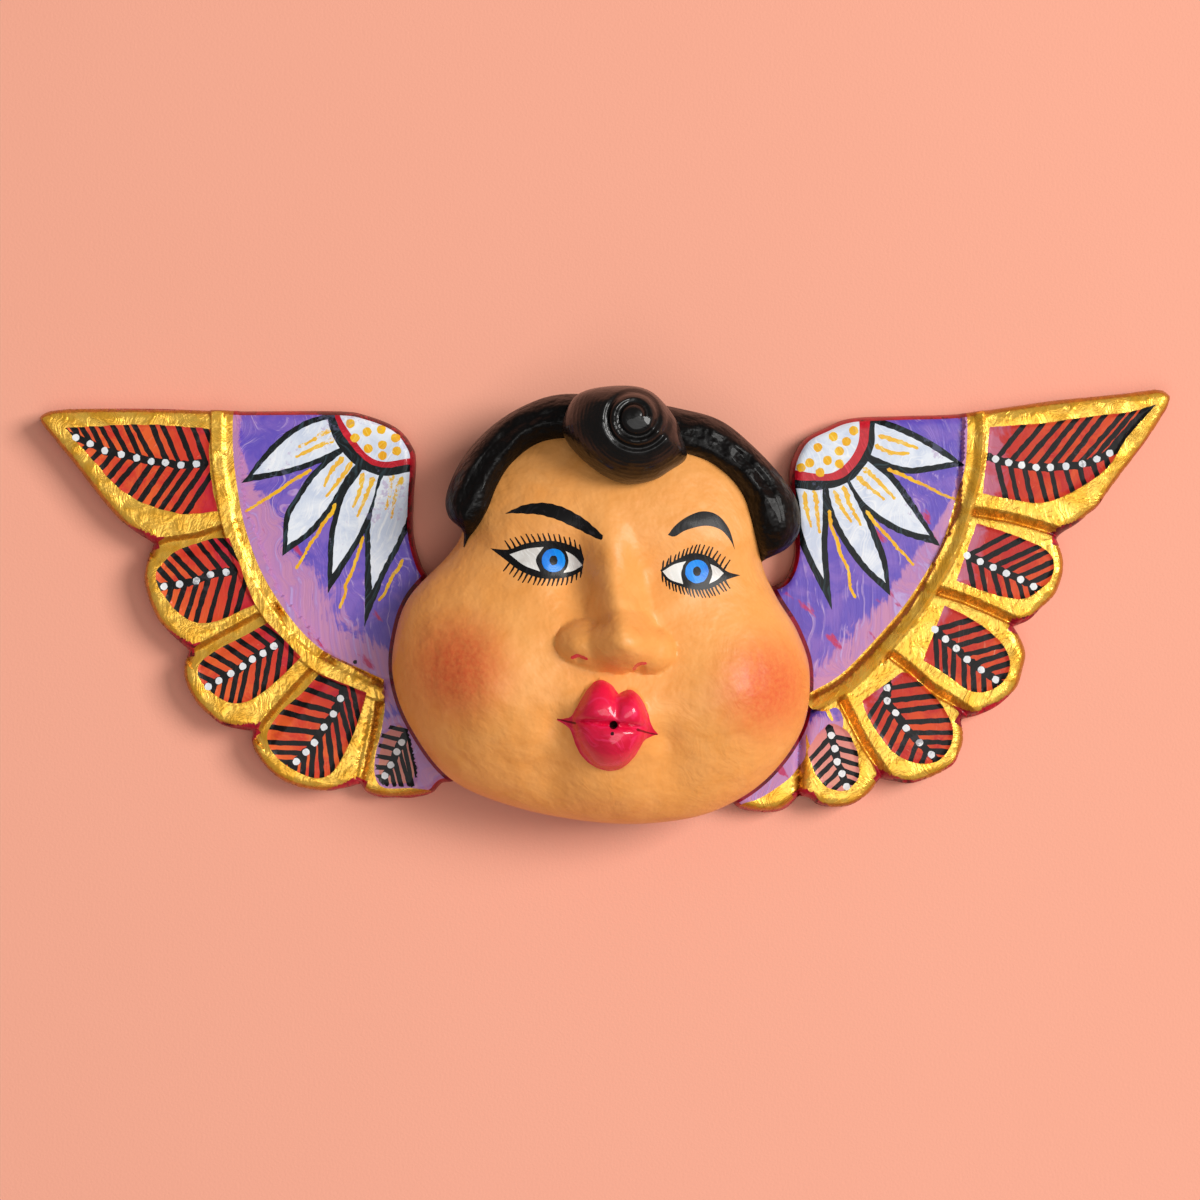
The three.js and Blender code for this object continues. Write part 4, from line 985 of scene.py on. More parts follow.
# %% Group: the drag of a brush
brush_group, start, end = new_group(
    "brush_drag", {"Angle": 0.0, "Fineness": 900.0, "Stretch": 0.08}, ("Streaks", "Patches"))
place = object_place(brush_group)
wander = noise(brush_group, place, 30.0)
angle = calculate(brush_group, "MULTIPLY_ADD", wander, 1.6, start["Angle"])
squash = add_node(brush_group, "ShaderNodeCombineXYZ", {"X": start["Stretch"], "Y": 1.0, "Z": 1.0})
dragged = stretched(brush_group, turned(brush_group, place, angle), squash.outputs[0])
streaks = noise(brush_group, dragged, start["Fineness"], 3.0, 0.6)
patches = noise(brush_group, place, 70.0, 4.0, 0.65, 0.8)
brush_group.links.new(streaks, end["Streaks"])
brush_group.links.new(patches, end["Patches"])

# %% Group: chips and worn spots
wear_group, start, end = new_group("worn_spots", {"Amount": 0.5, "Fineness": 400.0}, ("Mask",))
place = object_place(wear_group)
large = noise(wear_group, place, 45.0, 3.0)
small = noise(wear_group, place, start["Fineness"], 5.0, 0.7)
both = calculate(wear_group, "ADD", large, small)
level = calculate(wear_group, "SUBTRACT", 1.25, start["Amount"])
over = calculate(wear_group, "SUBTRACT", both, level)
wear_group.links.new(calculate(wear_group, "MULTIPLY", over, 14.0, clamp=True), end["Mask"])

# %% Group: the grain of bare wood
grain_group, start, end = new_group("wood_grain", {"Across": 60.0}, ("Rings", "Fibres"))
place = object_place(grain_group)
along = stretched(grain_group, place, (0.12, 1.0, 1.0))
bend = add_node(grain_group, "ShaderNodeTexNoise", {"Vector": along, "Scale": 14.0})
lifted = stretched(grain_group, bend.outputs["Color"], (0.03, 0.03, 0.03))
bent = add_node(grain_group, "ShaderNodeVectorMath", {0: along, 1: lifted}, operation="ADD")
rings = add_node(grain_group, "ShaderNodeTexWave",
                 {"Vector": bent.outputs[0], "Scale": start["Across"], "Distortion": 1.5, "Detail": 2.0},
                 bands_direction="Y")
fibres = noise(grain_group, stretched(grain_group, place, (0.04, 1.0, 1.0)), 1600.0, 3.0)
grain_group.links.new(rings.outputs["Fac"], end["Rings"])
grain_group.links.new(fibres, end["Fibres"])
print("node groups:", [group.name for group in bpy.data.node_groups])

# %% [markdown]
# Most of the paints are the same recipe with other numbers: a colour that drifts a little, brush
# drag in the roughness and in a fine bump, and here and there a chip that shows the coat below.
# So one function writes that recipe, and the special finishes are built on their own. Colours are
# written as a paint chart gives them, 0 to 255.

# %% The parts of a finish
finishes = {}


def new_finish(name):
    material = bpy.data.materials.new(name)
    material.use_nodes = True
    tree = material.node_tree
    tree.nodes.clear()
    shader = tree.nodes.new("ShaderNodeBsdfPrincipled")
    output = tree.nodes.new("ShaderNodeOutputMaterial")
    tree.links.new(shader.outputs[0], output.inputs["Surface"])
    finishes[name] = material
    return tree, shader


def brush(tree, angle, fineness, stretch=0.08):
    """Streaks and patches of a brush that was drawn along an angle."""
    inputs = {"Angle": angle, "Fineness": fineness, "Stretch": stretch}
    outputs = add_node(tree, "ShaderNodeGroup", inputs, node_tree=brush_group).outputs
    return outputs["Streaks"], outputs["Patches"]


def stored(tree, name):
    """A value that the mesh keeps at each of its points."""
    return add_node(tree, "ShaderNodeAttribute", attribute_name=name).outputs["Fac"]


def linear(colour):
    shares = [value / 255 for value in colour]
    return (*(v / 12.92 if v <= 0.04045 else ((v + 0.055) / 1.055) ** 2.4 for v in shares), 1)


def mix_colour(tree, factor, first, second):
    first, second = (linear(c) if isinstance(c, tuple) else c for c in (first, second))
    return add_node(tree, "ShaderNodeMix", {0: factor, 6: first, 7: second},
                    data_type="RGBA").outputs[2]


def threshold(tree, value, low, high):
    """0 below the low value, 1 above the high one."""
    return add_node(tree, "ShaderNodeMapRange",
                    {"Value": value, "From Min": low, "From Max": high}).outputs[0]


def spread(tree, value, low, high):
    """Low where the value is 0, high where it is 1."""
    return add_node(tree, "ShaderNodeMapRange",
                    {"Value": value, "To Min": low, "To Max": high}).outputs[0]


def dress(tree, shader, colour, roughness, varnish=None):
    """Colour and roughness from nodes; varnish as plain specular level, coat and its roughness."""
    tree.links.new(colour, shader.inputs["Base Color"])
    tree.links.new(roughness, shader.inputs["Roughness"])
    labels = ("Specular IOR Level", "Coat Weight", "Coat Roughness")
    for label, value in zip(labels, varnish or ()):
        shader.inputs[label].default_value = value


def add_bump(tree, shader, height, distance, after=None):
    bump = add_node(tree, "ShaderNodeBump", {"Height": height, "Distance": distance, "Strength": 1.0})
    if after is not None:
        tree.links.new(after.outputs[0], bump.inputs["Normal"])
    tree.links.new(bump.outputs[0], shader.inputs["Normal"])
    return bump


# %% Finish: hand-brushed paint
def brushed_paint(name, colour, deeper, lighter, under, wear=0.2, angle=0.4, fineness=900.0,
                  rough=(0.35, 0.55), coat=0.12, bump=0.00012, coat_rough=0.14):
    """Opaque paint: drifting colour, streaks, chips down to the coat below, and gloss."""
    tree, shader = new_finish(name)
    streaks, patches = brush(tree, angle, fineness)
    chips = add_node(tree, "ShaderNodeGroup", node_tree=wear_group)
    chips.inputs["Amount"].default_value = wear
    base = mix_colour(tree, threshold(tree, patches, 0.42, 0.62), colour, deeper)
    base = mix_colour(tree, threshold(tree, streaks, 0.52, 0.72), base, lighter)
    base = mix_colour(tree, chips.outputs["Mask"], base, under)
    dress(tree, shader, base, spread(tree, streaks, *rough), (0.2, coat, coat_rough))
    add_bump(tree, shader, streaks, bump)


RED = (186, 18, 40)
WET = {"wear": 0.05, "rough": (0.25, 0.4), "coat": 0.2}
brushed_paint("red_ground", RED, (128, 8, 28), (205, 40, 60), (90, 10, 20), coat=0.4)
brushed_paint("red_paint", (205, 15, 38), (180, 8, 30), (225, 50, 70), RED, coat=0.4)
brushed_paint("black_paint", (13, 11, 12), (8, 7, 8), (34, 32, 36), (44, 40, 44), wear=0.08,
              rough=(0.35, 0.5), coat=0.1)
brushed_paint("black_brushed", (14, 22, 26), (8, 10, 12), (48, 70, 78), (70, 74, 96), wear=0.12,
              angle=1.0, fineness=700.0)
brushed_paint("white_paint", (236, 238, 240), (215, 218, 225), (248, 248, 248), (170, 170, 175),
              wear=0.1)
brushed_paint("petal_white", (232, 238, 248), (206, 216, 236), (246, 248, 252), (206, 196, 222),
              wear=0.1, angle=1.2, fineness=650.0)
brushed_paint("eye_white", (236, 236, 232), (214, 210, 205), (246, 246, 244), (200, 196, 190), **WET)
brushed_paint("yellow_paint", (247, 190, 28), (236, 165, 20), (252, 214, 90), (222, 170, 80),
              wear=0.15)
brushed_paint("yellow_dry", (246, 196, 62), (240, 178, 50), (244, 222, 150), (230, 232, 238),
              wear=0.16, angle=1.2)
brushed_paint("blue_paint", (4, 138, 240), (2, 118, 226), (40, 164, 246), (10, 110, 200), wear=0.05,
              rough=(0.3, 0.45))
brushed_paint("lip_paint", (236, 10, 68), (212, 6, 52), (246, 50, 104), (194, 6, 42), wear=0.04,
              fineness=300.0, rough=(0.34, 0.46), coat=0.8, bump=0.0003, coat_rough=0.07)
brushed_paint("lip_shadow", (140, 4, 30), (110, 4, 24), (160, 14, 40), (100, 4, 20))
# painted shade for the mouth's hole
brushed_paint("mouth_dark", (60, 4, 12), (34, 3, 8), (80, 6, 16), (40, 4, 10), rough=(0.5, 0.7),
              coat=0.0)
brushed_paint("cheek_crimson", (140, 10, 40), (110, 6, 30), (170, 24, 58), (90, 6, 24))


# %% Finish: the feathers, from orange tips to a red and pink base
def feather_paint(name, tip, middle, base):
    """One colour far from the band, one nearer and a third at the base, all scratched."""
    tree, shader = new_finish(name)
    streaks, patches = brush(tree, 0.9, 1100.0)
    ragged = calculate(tree, "MULTIPLY_ADD", patches, 0.024, -0.012)
    place = calculate(tree, "ADD", stored(tree, "from_band"), ragged)
    colour = mix_colour(tree, threshold(tree, place, 0.016, 0.034), middle, tip)
    colour = mix_colour(tree, threshold(tree, place, 0.013, 0.018), base, colour)
    colour = mix_colour(tree, threshold(tree, patches, 0.45, 0.62), colour, middle)
    colour = mix_colour(tree, threshold(tree, streaks, 0.66, 0.8), colour, (228, 150, 120))
    dress(tree, shader, colour, spread(tree, streaks, 0.35, 0.55), (0.2, 0.12, 0.16))
    add_bump(tree, shader, streaks, 0.0002)


feather_paint("feather_wing_left", (234, 98, 42), (212, 56, 38), (196, 36, 50))
feather_paint("feather_wing_right", (220, 78, 34), (192, 40, 34), (190, 104, 128))
feather_paint("feather_salmon", (226, 150, 132), (216, 130, 128), (196, 118, 150))

# %% [markdown]
# ## Finish: gold leaf
# Leaf is laid over a red clay ground. It shines, but it is never a mirror: it wrinkles and cracks,
# and shade is painted into it on steep slopes and in low places. Near the low edges of the board the
# leaf is missing and the red ground shows. Two masks stored in the mesh find those places.

# %% Gold leaf
tree, shader = new_finish("gold_leaf")
streaks, patches = brush(tree, 0.8, 420.0, 0.25)
crumple = noise(tree, object_place(tree), 120.0, 3.0, 0.45, 0.5)
ragged = calculate(tree, "MULTIPLY_ADD", streaks, 0.7, -0.33)
# painted shade: the gold turns darker on steep slopes and in low places, with ragged edges
shade_amount = calculate(tree, "ADD", stored(tree, "slope_shade"), ragged)
bare = threshold(tree, calculate(tree, "ADD", stored(tree, "low_edge"), ragged), 0.62, 0.74)
gold = mix_colour(tree, threshold(tree, crumple, 0.42, 0.62), (255, 200, 82), (248, 182, 54))
# the colour of the painted shade on the gold
gold = mix_colour(tree, threshold(tree, shade_amount, 0.3, 1.1), gold, (178, 110, 24))
gold = mix_colour(tree, threshold(tree, streaks, 0.64, 0.74), gold, (204, 132, 32))
dress(tree, shader, mix_colour(tree, bare, gold, RED), spread(tree, streaks, 0.2, 0.34))
tree.links.new(spread(tree, bare, 0.56, 0.0), shader.inputs["Metallic"])
wrinkles = add_bump(tree, shader, crumple, 0.0011)
add_bump(tree, shader, streaks, 0.0005, after=wrinkles)

# %% [markdown]
# ## Finish: the purple field
# Blue-violet is scumbled over lilac and pink, so the ground shows in streaks, and a broad lilac
# zone lies along the gold band. A stored mask says where that zone is, because a width that
# changes along the band is easier to steer as numbers than as a texture.

# %% Purple paint
tree, shader = new_finish("purple_paint")
streaks, patches = brush(tree, 0.6, 520.0)
ragged = calculate(tree, "MULTIPLY_ADD", calculate(tree, "ADD", patches, streaks), 1.8, -1.8)
zone = calculate(tree, "ADD", stored(tree, "lilac"), ragged)
violet = mix_colour(tree, threshold(tree, patches, 0.42, 0.62), (100, 78, 188), (130, 98, 194))
lilac = mix_colour(tree, threshold(tree, streaks, 0.4, 0.66), (198, 136, 178), (176, 124, 190))
base = mix_colour(tree, threshold(tree, zone, 0.35, 0.65), violet, lilac)
base = mix_colour(tree, threshold(tree, streaks, 0.58, 0.72), base, (190, 164, 218))
smear_place = stretched(tree, turned(tree, object_place(tree), 0.9), (0.35, 1.0, 1.0))
crimson = threshold(tree, noise(tree, smear_place, 160.0, 4.0), 0.64, 0.69)
base = mix_colour(tree, crimson, base, (188, 48, 104))
dress(tree, shader, base, spread(tree, streaks, 0.28, 0.5), (0.35, 0.15, 0.16))
add_bump(tree, shader, streaks, 0.0003)

# %% [markdown]
# ## Finish: skin
# Several thin coats of a warm tan, rubbed smooth and varnished, with long soft brush marks under
# the gloss. The blush is dabbed on with a nearly dry brush, so it has no edge and a speckle.

# %% Skin paint
BLUSHES = [(-60, -25), (66, -33)]
BLUSH_CORE, BLUSH_REACH = 4, 31
tree, shader = new_finish("skin")
streaks, patches = brush(tree, 0.0, 300.0, 0.2)
place = object_place(tree)
base = mix_colour(tree, threshold(tree, patches, 0.35, 0.68), (247, 171, 94), (240, 160, 80))
speckle = noise(tree, place, 500.0, 3.0, 0.7)
grainy = calculate(tree, "MULTIPLY_ADD", speckle, 0.9, 0.35)
flat = stretched(tree, place, (1, 1, 0))
for x, y in BLUSHES:
    gap = add_node(tree, "ShaderNodeVectorMath", {0: flat, 1: (x * MM, y * MM, 0)},
                   operation="DISTANCE")
    soft = add_node(tree, "ShaderNodeMapRange",
                    {"Value": gap.outputs["Value"], "From Min": BLUSH_CORE * MM,
                     "From Max": BLUSH_REACH * MM, "To Min": 1.0, "To Max": 0.0},
                    interpolation_type="SMOOTHSTEP")
    amount = calculate(tree, "MULTIPLY", soft.outputs[0], grainy, clamp=True)
    base = mix_colour(tree, amount, base, (222, 96, 52))
dress(tree, shader, base, spread(tree, streaks, 0.38, 0.52), (0.3, 0.09, 0.16))
dents = add_bump(tree, shader, noise(tree, place, 90.0, 3.0), 0.0014)
add_bump(tree, shader, streaks, 0.0002, after=dents)


# %% Finish: black hair
def black_hair(name, dent, specular, coat):
    """Nearly black varnish over gouge marks, dull on the band and glossy on the curl."""
    tree, shader = new_finish(name)
    streaks, patches = brush(tree, 0.0, 420.0, 0.3)
    base = mix_colour(tree, threshold(tree, patches, 0.42, 0.68), (5, 4, 4), (12, 8, 8))
    base = mix_colour(tree, threshold(tree, streaks, 0.62, 0.8), base, (22, 16, 15))
    dress(tree, shader, base, spread(tree, patches, 0.3, 0.55), (specular, coat, 0.05))
    dents = add_bump(tree, shader, noise(tree, object_place(tree), 150.0), dent)
    add_bump(tree, shader, streaks, 0.0003, after=dents)


black_hair("hair_paint", 0.003, 0.12, 0.1)
black_hair("curl_paint", 0.001, 0.15, 0.4)

# %% Bare wood
tree, shader = new_finish("bare_wood")
grain = add_node(tree, "ShaderNodeGroup", node_tree=grain_group).outputs
base = mix_colour(tree, grain["Rings"], (196, 158, 112), (168, 126, 82))
base = mix_colour(tree, threshold(tree, grain["Fibres"], 0.5, 0.75), base, (140, 100, 62))
dress(tree, shader, base, spread(tree, grain["Fibres"], 0.6, 0.85))
add_bump(tree, shader, grain["Fibres"], 0.0003)
print("finishes:", sorted(finishes))

# %% [markdown]
# ## From sheets to solid pieces
# A sheet becomes a closed body by following its rim: each ring of the side repeats the rim at
# another height, and the back closes it. Keeping the same count of points in each ring makes the
# strips between them simple to write.


# %% Closed bodies
SHARP_ANGLE = 48  # degrees between two faces from which an edge is shaded as a corner


class Body:
    """Collects points and faces in millimetres and turns them into one mesh."""

    def __init__(self, name):
        self.name = name
        self.points = []
        self.faces = []
        self.slots = []

    def add_points(self, xyz):
        first = len(self.points)
        self.points += [tuple(p) for p in xyz]
        return list(range(first, first + len(xyz)))

    def add_ring(self, xy, z):
        """Points at one height, or each at a height of its own."""
        return self.add_points(np.column_stack([xy, np.full(len(xy), z, float)]))

    def add_faces(self, faces, slots):
        """Faces with one finish for all, or a finish for each."""
        self.faces += [tuple(face) for face in faces]
        self.slots += [slots] * len(faces) if isinstance(slots, str) else list(slots)

    def strip(self, ring, next_ring, slots):
        """Quads between two closed rings of the same count."""
        pairs = list(zip(ring, next_ring))
        self.add_faces([(a, c, d, b) for (a, b), (c, d) in zip(pairs, pairs[1:] + pairs[:1])], slots)

    def fan(self, ring, centre, slot):
        tip = self.add_points([centre])[0]
        self.add_faces([(a, b, tip) for a, b in zip(ring, ring[1:] + ring[:1])], slot)

    def build(self, masks=None):
        mesh = bpy.data.meshes.new(self.name)
        mesh.from_pydata([tuple(v * MM for v in p) for p in self.points], [], self.faces)
        names = sorted(set(self.slots))
        for name in names:
            mesh.materials.append(finishes[name])
        index = {name: i for i, name in enumerate(names)}
        mesh.polygons.foreach_set("material_index", [index[name] for name in self.slots])
        mesh.polygons.foreach_set("use_smooth", [True] * len(mesh.polygons))
        for label, values in (masks or {}).items():
            layer = mesh.attributes.new(label, "FLOAT", "POINT")
            layer.data.foreach_set("value", np.asarray(values, float))
        mesh.validate()
        mesh.update()
        mesh.set_sharp_from_angle(angle=math.radians(SHARP_ANGLE))
        piece = bpy.data.objects.new(self.name, mesh)
        bpy.context.collection.objects.link(piece)
        triangles = sum(len(f) - 2 for f in self.faces)
        print(f"{self.name}: {len(self.points)} points, {triangles} triangles")
        return piece


# %% [markdown]
# ## The wings
# Each wing is cut where it meets the head, along the wall of the head grown by a hair's gap. The
# side is red ground, and gold where it comes down over the edge of a feather. The back is bare
# wood, flat, because it lies against the wall.

# %% Build the wings
SHEET_SPACING = 1.15
wall_line = moved_in(face_line, UNDERCUT - JOINT_GAP)


def steepness(body):
    """How far each point's surface leans from lying flat, 0 to 1."""
    points = np.array(body.points)
    leans = np.zeros((len(points), 3))
    corners = np.array([face for face in body.faces if len(face) == 3])
    a, b, c = (points[corners[:, i]] for i in range(3))
    facing = np.cross(b - a, c - a)
    for i in range(3):
        np.add.at(leans, corners[:, i], facing)
    size = np.maximum(np.linalg.norm(leans, axis=1), 1e-9)
    return 1 - np.clip(leans[:, 2] / size, 0, 1)


def wing_masks(wing, points, steep):
    """Values kept at each point, from which the finishes find their places."""
    flat = points[:, :2]
    to_band, _ = distance_to(flat, smooth_line(wing["band_in"]))
    at, width = np.array(wing["lilac_width"], float).T
    lilac = 1 - smooth_step(0.4, 1.5, to_band / np.interp(points[:, 1], at, width))
    leaf = 1 - smooth_step(-52, -42, points[:, 1])
    # painted shade for the gold: steep slopes and low places are marked to be painted darker
    shade = smooth_step(0.03, 0.3, steep) * (points[:, 2] < 17)
    return {"from_band": to_band * MM, "lilac": np.maximum(lilac, leaf),
            "slope_shade": np.maximum(shade, 1 - smooth_step(11, 13.6, points[:, 2])),
            "low_edge": 1 - smooth_step(9.5, 13.4, points[:, 2])}


def build_wing(wing):
    outline = outline_of(wing["outline"], 1.3)
    coats = wing_coats(wing, outline)
    xy, triangles, finish = painted_sheet(outline, coats, SHEET_SPACING, (0.35, 0.9, 1.7), wall_line,
                                          crease_lines(wing))
    height = wing_height(wing, xy, outline)
    body = Body(f"painted_{wing['name']}")
    body.add_ring(xy, height)
    body.add_faces(triangles.tolist(), finish)
    rim = rim_of(triangles)
    owner = {}
    for (a, b, c), slot in zip(triangles.tolist(), finish):
        owner[(a, b)] = owner[(b, c)] = owner[(c, a)] = slot
    edge_slots = [owner[(a, b)] for a, b in zip(rim, rim[1:] + rim[:1])]
    side_slots = ["gold_leaf" if slot == "gold_leaf" else "red_ground" for slot in edge_slots]
    previous = rim
    for z, slots in ((7.5, side_slots), (1.0, side_slots), (0.0, "red_ground")):
        ring = body.add_ring(xy[rim], z)
        body.strip(ring, previous, slots)
        previous = ring
    body.add_faces([previous[::-1]], "bare_wood")
    piece = body.build(wing_masks(wing, np.array(body.points), steepness(body)))
    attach(piece, "root")
    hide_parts(wing["name"])
    return piece


for wing in (left_wing, right_wing):
    build_wing(wing)

# %% [markdown]
# ## The head
# The painted face is a body of its own: relief in front, a wall that steps in below the cheeks,
# and a hollow behind, which makes the mask light and lets it hang close to the wall. A flat ledge
# in the top of the hollow rests on the nail.

# %% Build the face
HOLLOW_EDGE_Z, HOLLOW_RISE = 14, 38
HOLE_RADIUS, HOLE_DEPTH = 1.8, 4  # the blind hole between the lips
LEDGE_X, LEDGE_Y, LEDGE_WIDTH = 5, 66, 24  # a flat for the nail in the top wall of the hollow
xy, triangles, finish = painted_sheet(face_line, face_coats, SHEET_SPACING, (0.4, 1.1, 2.2))
height = face_height(xy)
from_mouth = np.hypot(*(xy - MOUTH).T)
hole_depth = HOLE_DEPTH * (1 - smooth_step(HOLE_RADIUS - 0.7, HOLE_RADIUS, from_mouth))
face = Body("painted_face")
face.add_ring(xy, height - hole_depth)
face.add_faces(triangles.tolist(), finish)
rim = rim_of(triangles)
previous = rim
HOLLOW_INSET = 16
side_rings = [  # height, how far inside the outline, and finish
    (29, 0.3, "skin"), (26, 0.9, "skin"), (21, 2.2, "skin"), (WALL_TOP, UNDERCUT, "red_ground"),
    (1, UNDERCUT, "red_ground"), (0, UNDERCUT + 0.8, "red_ground"),
    (0, HOLLOW_INSET - 1, "bare_wood"), (1, HOLLOW_INSET, "bare_wood"),
    (HOLLOW_EDGE_Z - 0.1, HOLLOW_INSET, "bare_wood"),
]
for z, inset, slot in side_rings:
    ring_xy = moved_in(xy[rim], inset)
    if slot == "bare_wood":
        mouth_xy = ring_xy.copy()
        on_ledge = (np.abs(ring_xy[:, 0] - LEDGE_X) < LEDGE_WIDTH / 2) & (ring_xy[:, 1] > 0)
        ring_xy[on_ledge, 1] = LEDGE_Y
    ring = face.add_ring(ring_xy, z)
    face.strip(ring, previous, slot)
    previous = ring
for share in (1, 0.97, 0.92, 0.84, 0.73, 0.6, 0.45, 0.3, 0.15):
    z = HOLLOW_EDGE_Z + HOLLOW_RISE * math.sqrt(1 - share**DOME_POWER)
    ring = face.add_ring(DOME_CENTRE + (mouth_xy - DOME_CENTRE) * share, z)
    face.strip(ring, previous, "bare_wood")
    previous = ring
face.fan(previous[::-1], (*DOME_CENTRE, HOLLOW_EDGE_Z + HOLLOW_RISE), "bare_wood")
painted_face = face.build()
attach(painted_face, "root")
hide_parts("head")

# %% [markdown]
# ## The hair
# The band of hair is a thick rope from temple to temple. It is lofted: a cross-section is carried
# along two lines, where the hair starts on the forehead and where it ends over the edge. Slow
# waves and lumps, and short ripples on the outer half, stand for the marks of a gouge.

# %% Hair band
hair_inside = [(-58, 24), (-56, 28), (-52, 33), (-48, 40), (-44, 50), (-38, 59), (-27, 67),
               (-12, 69), (8, 67), (26, 64), (41, 60), (51, 53), (57, 45), (60, 36), (62, 28),
               (64, 21), (65, 18)]
hair_outside = [(-58.8, 24.8), (-59, 31), (-65, 37), (-66, 46), (-60, 60), (-49, 73), (-34, 83),
                (-17, 88), (8, 86), (31, 82), (48, 77), (62, 66), (74, 53), (80, 43), (81, 32),
                (76, 24), (65.7, 18.8)]
HAIR_STAND, HAIR_EDGE_Z = 8, 30
HAIR_STAND_SHARE, HAIR_CREST_SHARE = 0.42, 0.6  # where the band is at full height and falls again
HAIR_STEPS = 260


def paired_lines(first, second, count):
    """Two lines whose points stay paired, by the numbers of their control points."""
    a, b = np.array(first, float), np.array(second, float)
    both = np.hstack([a, b])
    p = np.vstack([2 * both[0] - both[1], both, 2 * both[-1] - both[-2]])
    at = np.linspace(0, len(both) - 1 - 1e-9, count)
    k = np.floor(at).astype(int)
    t = (at - k)[:, None]
    w, x, y, z = p[k], p[k + 1], p[k + 2], p[k + 3]
    line = 0.5 * (2 * x + (y - w) * t + (2 * w - 5 * x + 4 * y - z) * t**2
                  + (3 * x - w - 3 * y + z) * t**3)
    return line[:, :2], line[:, 2:]


start_line, end_line = paired_lines(hair_inside, hair_outside, HAIR_STEPS)
root_height = face_height(start_line)
width = np.linalg.norm(end_line - start_line, axis=1)
strength = np.clip(width / 14, 0, 1)
middle_line = (start_line + end_line) / 2
along = np.concatenate([[0], np.cumsum(np.linalg.norm(np.diff(middle_line, axis=0), axis=1))])
shares = np.concatenate([[0.0, 0.03], np.linspace(0.07, 0.93, 44), [0.97, 1.0]])
rows = []
crest = None
level = (EQUATOR_Z + root_height) / 2
for share in shares:
    here = start_line + (end_line - start_line) * share
    stand = np.sin(math.pi / 2 * min(1, share / HAIR_STAND_SHARE)) ** 0.8
    top = root_height + (level - root_height) * share**1.6 + HAIR_STAND * stand * strength
    top = np.maximum(top, HAIR_EDGE_Z + 3)
    if share <= HAIR_CREST_SHARE:
        crest = top
    else:
        past = (share - HAIR_CREST_SHARE) / (1 - HAIR_CREST_SHARE)
        fall = 1 - math.sqrt(max(0, 1 - past**2))
        top = crest + (HAIR_EDGE_Z - crest) * fall
    fade = math.sin(math.pi * min(1, max(0, share))) ** 0.5
    lumps = np.sin(along / 3.1 + 9 * share) * np.sin(along / 5.3 + 2.3 - 7 * share)
    waves = np.sin(along / 9 - 12 * share)
    gouges = np.sin(along / 1.9 - 3 * share + 1.5 * np.sin(along / 11)) * smooth_step(0.3, 0.6, share)
    top = top + (0.35 * lumps + 0.45 * waves + 0.3 * gouges) * fade * strength
    rows.append(np.column_stack([here, top]))
tuck = smooth_step(0.15, 0.6, strength)  # the thin ends go in behind the skin
wall_share = (1 - np.minimum(0.3, 4 / width)) * tuck
wall = start_line + (end_line - start_line) * wall_share[:, None]
inner = start_line + (end_line - start_line) * 0.3
hidden = start_line + (end_line - start_line) * 0.02
for line, z in ((wall, WALL_TOP + 2), (wall, 0), (inner, 0), (hidden, 4), (start_line, root_height - 3)):
    rows.append(np.column_stack([line, np.full(HAIR_STEPS, z, float)]))
section = np.stack(rows, axis=1)
hair = Body("hair_band")
rings = [hair.add_points(ring) for ring in section]
for ring, next_ring in zip(rings, rings[1:]):
    hair.strip(ring, next_ring, "hair_paint")
hair.fan(rings[0][::-1], section[0].mean(axis=0), "hair_paint")
hair.fan(rings[-1], section[-1].mean(axis=0), "hair_paint")
hair_band = hair.build()
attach(hair_band, "root")
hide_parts("head")

# %% [markdown]
# ## The rolled curl
# Over the forehead the hair is rolled into a curl with a button in its middle. It is a dome whose
# rings slide towards the button, with one spiral groove cut into it, and the strands follow the
# spiral.

# %% Curl
curl_points = [(-17.2, 74.9), (-11.1, 86), (4, 89.5), (18.1, 87.5), (28.2, 76.9), (31.2, 68.9),
               (33.2, 60.3), (26.2, 54.8), (20.1, 51.2), (12, 49.5), (4, 50.7), (-4.1, 55.3),
               (-11.1, 61.3), (-16.2, 67.9)]
CURL_CENTRE, CURL_BUTTON = np.array([8.0, 70.0]), np.array([12.2, 75.9])
CURL_FOOT_Z, CURL_WAIST_Z, CURL_RISE = 34, 62, 24
GROOVE_START, GROOVE_PER_TURN, GROOVE_TURNS = 4.6, 4.5, 2.1
GROOVE_WIDTH, GROOVE_DEPTH = 1.3, 1.9
CURL_SPOKES, CURL_RINGS = 150, 74
turn = np.linspace(0, 2 * math.pi, CURL_SPOKES, endpoint=False)


def groove_depth(distance, angle):
    depth = np.zeros(len(distance))
    for lap in range(math.ceil(GROOVE_TURNS) + 1):
        wound = angle / (2 * math.pi) + lap
        line = GROOVE_START + GROOVE_PER_TURN * wound
        cut = GROOVE_DEPTH * np.exp(-((distance - line) / GROOVE_WIDTH) ** 2)
        fade = 1 - smooth_step(GROOVE_TURNS - 0.25, GROOVE_TURNS + 0.1, wound)
        depth = np.maximum(depth, cut * fade)
    return depth


def curl_ring(share):
    """The curl's outline, drawn in towards its centre."""
    middle = CURL_CENTRE + (CURL_BUTTON - CURL_CENTRE) * max(0, 1 - share)
    return middle + curl_outline * share


